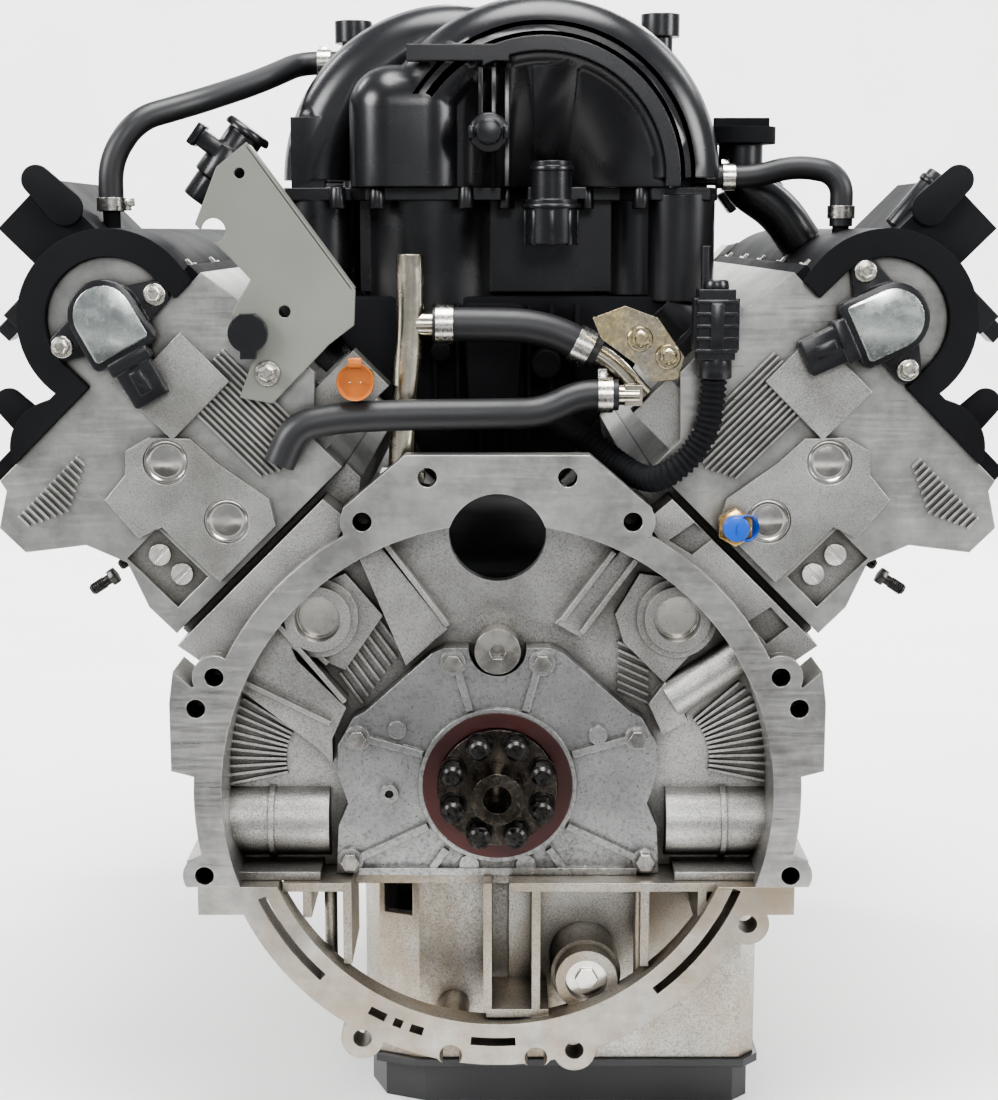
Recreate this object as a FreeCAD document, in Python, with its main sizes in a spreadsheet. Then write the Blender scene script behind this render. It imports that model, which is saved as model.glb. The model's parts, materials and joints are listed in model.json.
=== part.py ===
"""A complete 90-degree, twin-cam V8 engine, standing on its sump, built as an assembly of pieces.

Frame: millimetres, +Z up, +Y from the flywheel end to the front of the engine, +X to the right
of someone who faces the flywheel end. The origin is on the crankshaft axis, in the plane of the
flange that the flywheel bolts to.

A bank of cylinders is drawn upright, with its bore axis along Z, and is then turned about the
crankshaft by half of the angle between the banks. So in a bank's drawing x runs across the bank,
and z is the height above the crankshaft along the bores.
"""
import FreeCAD, Part
import Sketcher
import math
import os
import re

os.makedirs("parts", exist_ok=True)
doc = FreeCAD.newDocument("V8Engine")

# ---------------------------------------------------------------- driving dimensions
SIZES = {
    # cylinders and crankshaft
    "bore": 98,
    "stroke": 92,
    "bore_pitch": 108,
    "deck_height": 233,
    "half_angle": 45,
    "bank_stagger": 10,
    "rod_length": 154.5,
    "first_bore": 99,
    "cylinder_wall": 17,
    "main_radius": 32,
    "pin_radius": 27,
    "web_radius": 76,
    "web_thickness": 18,
    "bearing_clearance": 0.3,
    "running_clearance": 1.0,
    "bulkhead": 30,
    "nose_radius": 17,
    # block
    "block_rear": 28,
    "front_wall": 70,
    "rail_level": -65,
    "rail_half_width": 140,
    "rail_thickness": 14,
    "skirt_half_width": 118,
    "valley_floor": 140,
    "deck_inner": 85,
    "deck_outer": 80,
    "deck_flange": 14,
    "cap_half_width": 60,
    "cap_depth": 58,
    # bell housing face
    "bell_face": -20,
    "bell_inner": 190,
    "bell_outer": 209,
    "bell_boss": 15,
    "bell_hole": 6.5,
    "bell_top": 236,
    "bell_top_half": 62,
    "bell_top_depth": 18,
    "window_radius": 34,
    "window_height": 176,
    "shoulder_depth": 38,
    "plateau": 12,
    "fin": 3,
    "passage_radius": 26,
    "passage_level": 32,
    # rear main seal and its retainer
    "flange_radius": 41.5,
    "flange_thickness": 20,
    "pilot_radius": 18,
    "pilot_bore": 9.9,
    "pilot_length": 28,
    "pilot_depth": 14,
    "bolt_circle": 33.5,
    "seal_radius": 52.5,
    "seal_width": 10,
    "retainer_face": 9,
    # sump
    "sump_left": 100,
    "sump_right": 192,
    "sump_rear": 58,
    "sump_setback": 72,
    "sump_wall": 6,
    "sump_split": 226,
    "sump_floor": 262,
    "arc_inner": 166,
    "arc_outer": 196,
    "arc_depth": 20,
    # heads
    "gasket": 1.2,
    "head_rear": 0,
    "head_top": 392,
    "port_face": 110,
    "inlet_face": 118,
    "inlet_height": 413,
    "inlet_offset": 46,
    "exhaust_height": 378,
    "exhaust_offset": 40,
    "cam_journal": 13,
    "cam_base": 17,
    "cam_lift": 9.5,
    "lobe_width": 14,
    "cover_arch": 61,
    "cover_hump": 33,
    "cover_wall": 4,
    "cover_half_width": 86,
    # timing drive at the front
    "timing_depth": 46,
    "sprocket_radius": 38,
    "pulley_radius": 78,
    "pulley_width": 34,
    # pistons
    "piston_crown": 30,
    "skirt_length": 28,
    "piston_clearance": 0.3,
    "piston_pin": 11,
    # intake manifold
    "runner_offset": 31,
    "runner_sweep": 98,
    "runner_radius": 27,
    "runner_level": 420,
    "seam_level": 405,
    "seam_thickness": 9,
    "plenum_rear": 72,
    "plenum_setback": 14,
    "throttle_bore": 37.5,
    "spigot_length": 28,
}

sheet = doc.addObject("Spreadsheet::Sheet", "Sizes")
for row, (alias, value) in enumerate(SIZES.items(), start=1):
    sheet.set("A%d" % row, alias)
    sheet.set("B%d" % row, str(value))
    sheet.setAlias("B%d" % row, alias)
doc.recompute()

# Levels that follow from the driving dimensions
LEVELS = {
    "plenum_front": "(block_front - plenum_setback)",
    "sump_front": "(block_front - sump_setback)",
    "block_front": "(4 * bore_pitch + front_wall)",
}

BANKS = {"left": -1, "right": 1}
CYLINDERS = range(4)


# ---------------------------------------------------------------- helpers
def formula(text):
    """Write out the levels in a formula, and name the sheet in front of every size."""
    for level, rule in LEVELS.items():
        text = re.sub(r"\b%s\b" % level, rule, str(text))
    return re.sub(r"[a-z][a-z_]+", lambda word: in_sheet(word.group()), str(text))


def in_sheet(word):
    """Give a size's full name, and leave the name of a function as it is."""
    return "Sizes." + word if word in SIZES else word


def bind(thing, prop, text):
    """Tie one property to a formula of the sheet."""
    thing.setExpression(prop, formula(text))


AXES = {
    "Z": ((0, 0, 1), 0),
    "-Z": ((1, 0, 0), 180),
    "Y": ((1, 0, 0), -90),
    "-Y": ((1, 0, 0), 90),
    "X": ((0, 1, 0), 90),
    "-X": ((0, 1, 0), -90),
}


def place(thing, at, axis="Z", turn=None):
    """Put a piece at a point, along an axis, or turned about Y by a formula in degrees."""
    vector, angle = AXES[axis]
    if turn is not None:
        vector, angle = (0, 1, 0), 1
    rotation = FreeCAD.Rotation(FreeCAD.Vector(*vector), angle)
    thing.Placement = FreeCAD.Placement(FreeCAD.Vector(), rotation)
    for letter, text in zip("xyz", at):
        bind(thing, "Placement.Base." + letter, text)
    if turn is not None:
        bind(thing, "Placement.Rotation.Angle", turn)
    return thing


def cylinder(radius, length, at, axis="Y"):
    """A round bar or, as a tool, a round hole."""
    bar = doc.addObject("Part::Cylinder", "Cylinder")
    bind(bar, "Radius", radius)
    bind(bar, "Height", length)
    return place(bar, at, axis)


def cone(first, last, length, at, axis="Y"):
    """A tapered round bar."""
    bar = doc.addObject("Part::Cone", "Cone")
    bind(bar, "Radius1", first)
    bind(bar, "Radius2", last)
    bind(bar, "Height", length)
    return place(bar, at, axis)


def box(size, at, turn=None):
    """A block, placed by its lowest corner."""
    block = doc.addObject("Part::Box", "Box")
    for prop, text in zip(("Length", "Width", "Height"), size):
        bind(block, prop, text)
    return place(block, at, turn=turn)


def hexagon(radius, length, at, axis="Y"):
    """A bolt head, by the radius of its corners."""
    head = doc.addObject("Part::Prism", "Hexagon")
    head.Polygon = 6
    bind(head, "Circumradius", radius)
    bind(head, "Height", length)
    return place(head, at, axis)


def bar(first, last, width, y, depth):
    """A straight rib between two points of a plane across the engine."""
    run, rise = last[0] - first[0], last[1] - first[1]
    return box((math.hypot(run, rise), depth, width), (first[0], y, first[1]),
               turn=-math.degrees(math.atan2(rise, run)))


def fins(first, last, next_to, count, width, y, depth):
    """Parallel ribs: the first one runs from first to last, the others step towards next_to."""
    step = ((next_to[0] - first[0]) / (count - 1), (next_to[1] - first[1]) / (count - 1))
    return [bar((first[0] + i * step[0], first[1] + i * step[1]),
                (last[0] + i * step[0], last[1] + i * step[1]), width, y, depth) for i in range(count)]


def ring(inner, outer, length, at, axis="Y"):
    """A tube or a washer."""
    x, y, z = at
    start = {"Y": (x, "%s - 1" % y, z), "-Y": (x, "%s + 1" % y, z), "Z": (x, y, "%s - 1" % z),
             "X": ("%s - 1" % x, y, z), "-X": ("%s + 1" % x, y, z)}[axis]
    return cut(cylinder(outer, length, at, axis), [cylinder(inner, "%s + 2" % length, start, axis)])


def fuse(shapes):
    """Join shapes into one piece."""
    joined = doc.addObject("Part::MultiFuse", "Fuse")
    joined.Shapes = shapes
    joined.Refine = True
    return joined


def group(shapes):
    """Keep separate solids together in one node."""
    held = doc.addObject("Part::Compound", "Group")
    held.Links = shapes
    return held


def cut(base, tools):
    """Take tools away from a base."""
    tool = tools[0] if len(tools) == 1 else group(tools)
    if len(tools) > 1:
        tool = fuse(tools)
    result = doc.addObject("Part::Cut", "Cut")
    result.Base = base
    result.Tool = tool
    result.Refine = True
    return result


def common(first, second):
    """Keep what two shapes share."""
    result = doc.addObject("Part::Common", "Common")
    result.Base = first
    result.Tool = second
    return result


PLANES = {"XZ": "XZ_Plane", "XY": "XY_Plane"}


def draw(body, plane, outline):
    """Sketch a closed outline of straight lines whose corners are formulas."""
    sketch = body.newObject("Sketcher::SketchObject", "Outline")
    origin = [f for f in body.Origin.OriginFeatures if f.Role == PLANES[plane]][0]
    sketch.AttachmentSupport = [(origin, "")]
    sketch.MapMode = "FlatFace"
    count = len(outline)
    spread = [FreeCAD.Vector(100 * math.cos(2 * math.pi * i / count),
                             100 * math.sin(2 * math.pi * i / count), 0) for i in range(count)]
    for i in range(count):
        sketch.addGeometry(Part.LineSegment(spread[i], spread[(i + 1) % count]))
    for i in range(count):
        sketch.addConstraint(Sketcher.Constraint("Coincident", i, 2, (i + 1) % count, 1))
    for i, corner in enumerate(outline):
        for kind, text in zip(("DistanceX", "DistanceY"), corner):
            index = sketch.addConstraint(Sketcher.Constraint(kind, -1, 1, i, 1, 10.0))
            bind(sketch, "Constraints[%d]" % index, text)
    return sketch


def slab(plane, outline, length, at=(0, 0, 0)):
    """A plate or a bar of one section. Drawn on XZ it runs towards +Y, and on XY towards +Z."""
    body = doc.addObject("PartDesign::Body", "Slab")
    sketch = draw(body, plane, outline)
    pad = body.newObject("PartDesign::Pad", "Pad")
    pad.Profile = sketch
    pad.Reversed = plane == "XZ"
    bind(pad, "Length", length)
    body.Tip = pad
    return place(body, at)


def mirrored(half):
    """Close an outline that is the same on both sides of x = 0, from its right half."""
    return half + [("-(%s)" % x, z) for x, z in reversed(half)]


def tube(points, radius, bore=0):
    """A pipe or hose along straight runs that are joined by the largest tangent arcs."""
    corners = [FreeCAD.Vector(*p) for p in points]
    edges = []
    start = corners[0]
    for before, corner, after in zip(corners, corners[1:], corners[2:]):
        back = (before - corner).normalize()
        on = (after - corner).normalize()
        turn = math.pi - back.getAngle(on)
        reach = 0.45 * min((before - corner).Length, (after - corner).Length)
        bend = reach / math.tan(turn / 2)
        first = corner + back * reach
        last = corner + on * reach
        middle_way = (back + on).normalize()
        middle = corner + middle_way * (math.hypot(reach, bend) - bend)
        edges.append(Part.LineSegment(start, first).toShape())
        edges.append(Part.Arc(first, middle, last).toShape())
        start = last
    edges.append(Part.LineSegment(start, corners[-1]).toShape())
    path = Part.Wire(edges)
    away = corners[1] - corners[0]
    rims = [Part.Wire(Part.Circle(corners[0], away, r).toShape()) for r in (radius, bore) if r]
    solids = [path.makePipeShell([rim], True, False) for rim in rims]
    pipe = doc.addObject("Part::Feature", "Tube")
    pipe.Shape = solids[0].cut(solids[1]) if bore else solids[0]
    return pipe


def into_bank(thing, side, start=0):
    """Turn an upright piece into the left (-1) or right (1) bank, starting there along the crankshaft."""
    return place(thing, (0, start, 0), turn="%d * half_angle" % side)


def bore_place(side, number):
    """Where a cylinder's axis lies along the crankshaft."""
    return "first_bore + %d * bore_pitch - (%d) * bank_stagger" % (number, side)


def main_place(number):
    """Where a main bearing's middle lies along the crankshaft."""
    return "first_bore + (%s) * bore_pitch" % (number - 0.5)


NODES = {}


def node(name, thing):
    """Name a finished piece."""
    thing.Label = name
    NODES[name] = thing
    return thing


# ---------------------------------------------------------------- cylinder block
BELL_HOLES = [(91, 191), (193, 84), (206, 62), (203, -57)]
BELL_TOP_HOLES = [(47, 221)]


def bank_casting(side):
    """One bank of four cylinders: water jacket, deck and deck flange."""
    inner = "-bore / 2 - cylinder_wall"
    outer = "bore / 2 + cylinder_wall + 4"
    step = "deck_height - deck_flange"
    points = [("-deck_inner", "deck_height"), ("deck_outer", "deck_height"),
              ("deck_outer", step), (outer, step + " - 10"), (outer, "bore / 2 + 4"),
              (inner, "bore / 2 + 4"), (inner, step + " - 14"), ("-deck_inner", step)]
    if side < 0:
        points = [("-(%s)" % x, z) for x, z in points]
    casting = slab("XZ", points, "block_front - block_rear", (0, "block_rear", 0))
    return into_bank(casting, side, "block_rear")


def turned(shape, side):
    """Turn a shape drawn upright into a bank, whatever its own placement."""
    return into_bank(group([shape]), side)


def bell_face():
    """The ring that the bell housing bolts to, with its bosses and its flat top."""
    depth = "block_rear - bell_face"
    parts = [cylinder("bell_outer", depth, (0, "bell_face", 0))]
    for side in BANKS.values():
        for x, z in BELL_HOLES:
            parts.append(cylinder("bell_boss", depth, (side * x, "bell_face", z)))
    top = [("bell_top_half", "bell_top"), ("bell_top_half + 42", "bell_top - 36"),
           ("bell_top_half + 42", "bell_top - 66")]
    parts.append(slab("XZ", mirrored(top), "bell_top_depth", (0, "bell_face", 0)))
    ear = [("bell_outer + 12", 88), ("bell_outer + 15", 66), ("bell_outer + 15", 18),
           ("bell_outer - 8", 12), ("bell_outer - 20", 60)]
    foot = [("bell_outer - 12", -38), ("bell_outer + 6", -46), ("bell_outer + 6", "rail_level"),
            ("bell_inner - 20", "rail_level")]
    for shape in (ear, foot):
        parts.append(slab("XZ", shape, depth, (0, "bell_face", 0)))
        other = [("-(%s)" % x, z) for x, z in shape]
        parts.append(slab("XZ", other, depth, (0, "bell_face", 0)))
    rim = fuse(parts)
    hollow = cylinder("bell_inner", depth + " + 2", (0, "bell_face - 1", 0))
    return cut(rim, [hollow])


def shoulders():
    """The cast plates between the ring and the decks. The right one has two pockets."""
    plates = []
    for side in BANKS.values():
        outline = [(219, 104), (118, 205), (100, 190), (125, 157), (185, 80)]
        plates.append(slab("XZ", [(side * x, z) for x, z in outline], "shoulder_depth",
                           (0, "block_rear - shoulder_depth", 0)))
    pockets = [slab("XZ", outline, 9, (0, "block_rear - shoulder_depth - 1", 0)) for outline in
               ([(116, 177), (132, 167), (146, 178), (133, 189)],
                [(170, 120), (184, 105), (199, 117), (186, 131)])]
    return cut(fuse(plates), pockets)


# Raised parts of the wall inside the ring, as (outline, height in plateaus).
PLATEAUS = [
    ([(-97, 163), (-83, 171), (-35, 110), (-43, 103), (-64, 84)], 1.0),
    ([(-130, 138), (-106, 149), (-80, 119), (-107, 80), (-125, 88), (-143, 103)], 0.7),
    ([(-184, 70), (-172, 98), (-150, 112), (-140, 88), (-106, 54), (-116, 32), (-116, 14),
      (-128, 26)], 1.1),
    ([(40, 114), (88, 168), (99, 159), (58, 104)], 0.9),
    ([(99, 149), (123, 145), (145, 122), (143, 100), (117, 71), (88, 100), (82, 120)], 0.7),
    ([(118, 72), (106, 56), (116, 34), (134, 44)], 0.9),
]
# Narrow ridges on them, as (first point, last point, height in plateaus).
RIDGES = [
    ((-186, 76), (-118, 42), 1.5), ((-153, 112), (-108, 58), 1.5), ((-80, 171), (-36, 112), 1.3),
    ((46, 116), (82, 164), 1.4), ((60, 107), (97, 158), 1.3), ((-142, 104), (-120, 84), 1.0),
]
PLUG_PLACE = (125, 118)


def rear_wall():
    """The wall behind the ring, with core plug bosses, coolant passages, plateaus and fins."""
    parts = [cylinder("bell_inner + 4", 12, (0, "block_rear", 0))]
    for side in BANKS.values():
        x, z = side * PLUG_PLACE[0], PLUG_PLACE[1]
        parts.append(cylinder(28, "1.1 * plateau", (x, "block_rear - 1.1 * plateau", z)))
        parts.append(cylinder(23, "1.5 * plateau", (x, "block_rear - 1.5 * plateau", z)))
        axis = "X" if side > 0 else "-X"
        parts.append(cylinder("passage_radius", "bell_inner - 118",
                              (side * 119, "block_rear + 6", "-passage_level"), axis))
        parts.append(cylinder("passage_radius + 1.6", 4,
                              (side * 158, "block_rear + 6", "-passage_level"), axis))
        parts.append(box((66, 34, 6), (124 if side > 0 else -190, "block_rear - 34", "rail_level")))
    for outline, height in PLATEAUS:
        depth = "%s * plateau" % height
        parts.append(slab("XZ", outline, depth, (0, "block_rear - %s" % depth, 0)))
    for first, last, height in RIDGES:
        depth = "%s * plateau" % height
        parts.append(bar(first, last, 3.5, "block_rear - %s" % depth, "%s * plateau" % height))
    tube_run = cylinder(14, 76, (0, "block_rear - 4", 0), "X")
    parts.append(place(group([tube_run]), (122, 0, 58), turn=-34))
    for side in BANKS.values():
        for number in range(13):
            angle = math.radians(139 + 4.4 * number)
            away = (-math.cos(angle) * side, math.sin(angle))
            root = (side * 108, 14)
            parts.append(bar((root[0] + 42 * away[0], root[1] + 42 * away[1]),
                             (root[0] + 84 * away[0], root[1] + 84 * away[1]), 2,
                             "block_rear - fin", "fin"))
    parts += fins((-112, 76), (-96, 54), (-84, 114), 8, 2, "block_rear - fin", "fin")
    parts += fins((84, 98), (106, 88), (84, 64), 7, 2, "block_rear - fin", "fin")
    return fuse(parts)


def crankcase():
    """The skirts, the valley floor and the sump rail."""
    half = [("rail_half_width", "rail_level"), ("rail_half_width", "rail_level + rail_thickness"),
            ("skirt_half_width", "rail_level + rail_thickness + 6"), ("skirt_half_width", 24),
            (62, 100), (48, "valley_floor")]
    return slab("XZ", mirrored(half), "block_front - block_rear", (0, "block_rear", 0))


def engine_mount_boss(side):
    """The pad on the block's flank that an engine mount bolts to."""
    start = "skirt_half_width - 6"
    pad = box((34, 120, 70), (start if side > 0 else "-(%s) - 34" % start, 220, -40))
    return pad


def mount_holes(side):
    """Four tapped holes in an engine mount pad."""
    holes = []
    for y in (235, 325):
        for z in (-28, 18):
            x = "skirt_half_width + 29"
            at = (x if side > 0 else "-(%s)" % x, y, z)
            holes.append(cylinder(5, 25, at, "-X" if side > 0 else "X"))
    return holes


def cylinder_block():
    parts = [crankcase(), bell_face(), rear_wall(), shoulders()]
    tools = []
    for side in BANKS.values():
        parts.append(bank_casting(side))
        parts.append(engine_mount_boss(side))
        tools.extend(mount_holes(side))
        for number in CYLINDERS:
            barrel = cylinder("bore / 2", "deck_height - 60", (0, bore_place(side, number), 70), "Z")
            tools.append(turned(barrel, side))
        for x, z in BELL_HOLES + BELL_TOP_HOLES:
            tools.append(cylinder("bell_hole", 34, (side * x, "bell_face - 1", z)))
        tools.append(cylinder(16, "1.5 * plateau - 2", (side * PLUG_PLACE[0], "block_rear - 1.5 * plateau - 1",
                                                        PLUG_PLACE[1])))
    for number in CYLINDERS:
        start = main_place(number) + " + bulkhead / 2"
        span = "bore_pitch - bulkhead"
        tools.append(cylinder("web_radius + 8", span, (0, start, 0)))
        tools.append(box(("2 * web_radius + 16", span, "web_radius + 8"),
                         ("-web_radius - 8", start, "-web_radius - 8")))
    tools.append(box(("2 * cap_half_width", "block_front - block_rear", 100),
                     ("-cap_half_width", "block_rear + 12", -100)))
    tools.append(cylinder("main_radius + bearing_clearance", 600, (0, -50, 0)))
    tools.append(cylinder("seal_radius", 14, (0, "block_rear - 12", 0)))
    tools.append(cylinder("window_radius", 100, (0, -40, "window_height")))
    tools.append(box((600, 700, 300), (-300, -100, "rail_level - 300")))
    node("cylinder_block", cut(fuse(parts), tools))


# ---------------------------------------------------------------- rear seal
def rear_seal_retainer():
    half = [(114, "rail_level"), (112, -30), (105, -14), (112, 8), (112, 28), (101, 48), (92, 53),
            (46, 94), (37, 98), (18, 98)]
    plate = slab("XZ", mirrored(half), "block_rear - retainer_face", (0, "retainer_face", 0))
    parts = [plate, cylinder("seal_radius + 3", 4, (0, "retainer_face - 3", 0))]
    for side in BANKS.values():
        for x, z in ((31, 88), (98, 34), (104, -55)):
            parts.append(cylinder(9, 5, (side * x, "retainer_face - 3", z)))
    for side in BANKS.values():
        for first, last in (((22, 53), (30, 82)), ((53, 20), (92, 31)), ((48, -32), (98, -56)),
                            ((34, -48), (44, -62))):
            if side < 0:
                first, last = (-last[0], last[1]), (-first[0], first[1])
            parts.append(bar(first, last, 5, "retainer_face - 3", 4))
        parts.append(cylinder(6.5, 4, (side * 70, "retainer_face - 3", 36 if side > 0 else 40)))
        parts.append(cylinder(7, 4, (side * 20, "retainer_face - 3", "rail_level + 7")))
    parts.append(cylinder(6.5, 5, (-76, "retainer_face - 4", -6)))
    parts.append(box((196, 5, 5), (-98, "retainer_face - 4", "rail_level")))
    holes = [cylinder("seal_radius", 60, (0, -20, 0)), cylinder(20, 60, (0, -20, 98)),
             cylinder(3, 8, (-76, "retainer_face - 5", -6)),
             box((240, 60, 20), (-120, -20, "rail_level - 20"))]
    node("rear_seal_retainer", cut(fuse(parts), holes))
    bolts = []
    for side in BANKS.values():
        for x, z in ((31, 88), (98, 34), (104, -55)):
            bolts.append(hexagon(6.5, 5, (side * x, "retainer_face - 8", z)))
    node("retainer_bolts", group(bolts))
    node("rear_main_seal", ring("flange_radius + bearing_clearance", "seal_radius", "seal_width",
                                (0, "retainer_face - 3", 0)))


def plugs():
    """Core plugs, and the plug of the main oil gallery."""
    cups = [cup_plug(16, (side * PLUG_PLACE[0], "block_rear - 9", PLUG_PLACE[1]))
            for side in BANKS.values()]
    gallery = cut(cylinder(16, 22, (0, 6, 96)), [hexagon(6, 9, (0, 5, 96))])
    node("block_plugs", group(cups + [gallery]))


def cup_plug(radius, at):
    """A pressed steel cup."""
    x, y, z = at
    return cut(cylinder(radius, 6, at), [cylinder(radius - 1.5, 5, (x, "%s - 1" % y, z))])


# ---------------------------------------------------------------- crankshaft
THROWS = [0, 90, 270, 180]


def crankshaft():
    """A cross-plane shaft: five main journals, four pins and eight webs."""
    parts = [cylinder("flange_radius", "flange_thickness", (0, 0, 0)),
             cylinder("pilot_radius", "pilot_length + 1", (0, "-pilot_length", 0)),
             cylinder("main_radius", "block_front - 8", (0, 8, 0)),
             cylinder("nose_radius", 96, (0, "block_front - 1", 0))]
    for number, angle in enumerate(THROWS):
        start = main_place(number) + " + bulkhead / 2 + running_clearance"
        span = "bore_pitch - bulkhead - 2 * running_clearance"
        throw = [pin(start, span), web(start),
                 web("%s + %s - web_thickness" % (start, span))]
        parts.append(place(group([fuse(throw)]), (0, 0, 0), turn=angle))
    tools = [cylinder("pilot_bore", "pilot_length + pilot_depth", (0, "-pilot_length - 1", 0))]
    for number, angle in enumerate(THROWS):
        start = main_place(number) + " + bulkhead / 2 + running_clearance + web_thickness"
        between = "bore_pitch - bulkhead - 2 * (running_clearance + web_thickness)"
        gap = cut(cylinder("main_radius + 1", between, (0, start, 0)),
                  [cylinder("pin_radius", 90, (0, start, "stroke / 2"))])
        tools.append(place(group([gap]), (0, 0, 0), turn=angle))
    node("crankshaft", cut(fuse(parts), tools))
    bolts = []
    for number in range(8):
        angle = math.radians(22.5 + 45 * number)
        x = "bolt_circle * %.4f" % math.cos(angle)
        z = "bolt_circle * %.4f" % math.sin(angle)
        bolts.append(fuse([cylinder(9.5, 3, (x, -3, z)), cylinder(7.5, 4, (x, -7, z)),
                           hexagon(8.8, 10, (x, -16, z)), cone(5, 7, 2, (x, -18, z))]))
    node("flywheel_bolts", group(bolts))


def pin(start, span):
    return cylinder("pin_radius", span, (0, start, "stroke / 2"))


def web(start):
    """A crank web: a cheek round the pin and a counterweight opposite."""
    half = [("pin_radius - 2", "stroke / 2 + pin_radius - 4"), ("pin_radius + 6", "stroke / 2"),
            ("pin_radius + 12", 0), ("web_radius * 0.85", -30), ("web_radius * 0.6", -56),
            ("web_radius * 0.3", "-web_radius * 0.94")]
    return slab("XZ", mirrored(half), "web_thickness", (0, start, 0))


def main_caps():
    """The five bearing caps below the crankshaft."""
    caps = []
    for number in range(5):
        start = main_place(number) + " - bulkhead / 2 + 2"
        if number == 0:
            start = "block_rear + 14"
        length = main_place(number) + " + bulkhead / 2 - 2 - (%s)" % start
        cap = box(("2 * cap_half_width - 0.6", length, "cap_depth"),
                  ("-cap_half_width + 0.3", start, "-cap_depth"))
        caps.append(cut(cap, [cylinder("main_radius + bearing_clearance", 600, (0, -50, 0))]))
    node("main_caps", group(caps))


# ---------------------------------------------------------------- pistons
def piston(side, number):
    """Crown and skirt, hollow below, with bosses for the piston pin."""
    crown_level = "stroke / 2 + rod_length + piston_crown"
    rest = piston_rest(side, number)
    bottom = "rod_length - skirt_length + %s" % rest
    height = "piston_crown + skirt_length"
    body = cylinder("bore / 2 - piston_clearance", height, (0, 0, bottom), "Z")
    hollow = cylinder("bore / 2 - 7", "skirt_length + piston_crown - 12", (0, 0, bottom + " - 1"), "Z")
    boss = box((26, "bore - 20", 28), (-13, "-bore / 2 + 10", "rod_length - 14 + %s" % rest))
    gap = box((28, 28, 60), (-14, -14, "rod_length - 44 + %s" % rest))
    shell = fuse([cut(body, [hollow]), cut(boss, [gap])])
    hole = cylinder("piston_pin", "bore", (0, "-bore / 2", "rod_length + %s" % rest))
    flat = []
    for end in (-1, 1):
        flat.append(box(("bore", 12, "skirt_length"),
                        ("-bore / 2", "%d * (bore / 2 - 2) - 6" % end, bottom + " - 1")))
    whole = cut(shell, [hole] + flat)
    placed = place(group([whole]), (0, bore_place(side, number), 0), turn="%d * half_angle" % side)
    return placed


def piston_rest(side, number):
    """How far the piston stands from mid stroke, less the rod's length, along its bore."""
    return "stroke / 2 * %.5f + 0" % throw_share(side, number)


def throw_share(side, number):
    """The piston's place in its stroke, from -1 at the bottom to 1 at the top."""
    throw, rod = SIZES["stroke"] / 2, SIZES["rod_length"]
    angle = math.radians(THROWS[number] - 45 * side)
    height = throw * math.cos(angle) + math.sqrt(rod ** 2 - (throw * math.sin(angle)) ** 2)
    return (height - rod) / throw


def pistons():
    for bank, side in BANKS.items():
        for number in CYLINDERS:
            node("piston_%s_%d" % (bank, number + 1), piston(side, number))


# ---------------------------------------------------------------- cylinder heads
DECK = "deck_height + gasket"
HEAD_PLUGS = [(-4, DECK + " + 86.8"), (-4, DECK + " + 29.8")]
CAM_TOWERS = (-0.5, 1.5, 3.5)


def flip(points, side):
    """Mirror an outline for the left bank."""
    return points if side > 0 else [("-(%s)" % x, z) for x, z in points]


def head_section(side):
    """Deck below, rail for the cam cover on top, ports on both flanks."""
    points = [("-deck_inner", DECK), ("deck_outer - 2", DECK), ("deck_outer - 2", DECK + " + 26"),
              ("port_face - 44", DECK + " + 58"), ("port_face - 33", DECK + " + 86"),
              ("port_face", "head_top - 46"), ("port_face", "head_top - 22"),
              ("cover_half_width + 2", "head_top - 8"), ("cover_half_width", "head_top"),
              ("-inlet_face + 6", "head_top"), ("-inlet_face", "head_top - 40"),
              ("-inlet_face", DECK + " + 58"), ("-deck_inner", DECK + " + 26")]
    return flip(points, side)


def end_plate(side):
    """The machined pad round the core plugs on the flywheel end of a head."""
    outline = [(-25, 4), (-35, 20), (-28, 62), (-27, 86), (-8, 106), (10, 111), (22, 100),
               (44, 98), (47, 64), (30, 58), (30, 4)]
    points = [(across, "%s + %d" % (DECK, up)) for across, up in outline]
    return slab("XZ", flip(points, side), 8, (0, "head_rear - 6", 0))


def cooling_fins(side):
    """Fine ribs along the bank on both sides of the machined pad."""
    ribs = []
    for first, pitch, count, low, high in ((-84, 3.9, 12, 24, 112), (38, 4.4, 14, 110, 132)):
        for number in range(count):
            across = side * (first + pitch * number)
            bottom = low + 2 * abs(number - count / 2)
            ribs.append(box((1.8, "fin + 1", high - bottom),
                            (across, "head_rear - fin", "%s + %s" % (DECK, bottom))))
    return ribs


def cam_axes(side):
    """Across and up: the inlet and the exhaust camshaft of a bank."""
    return [("-(%d) * inlet_offset" % side, "inlet_height"),
            ("%d * exhaust_offset" % side, "exhaust_height")]


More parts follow.
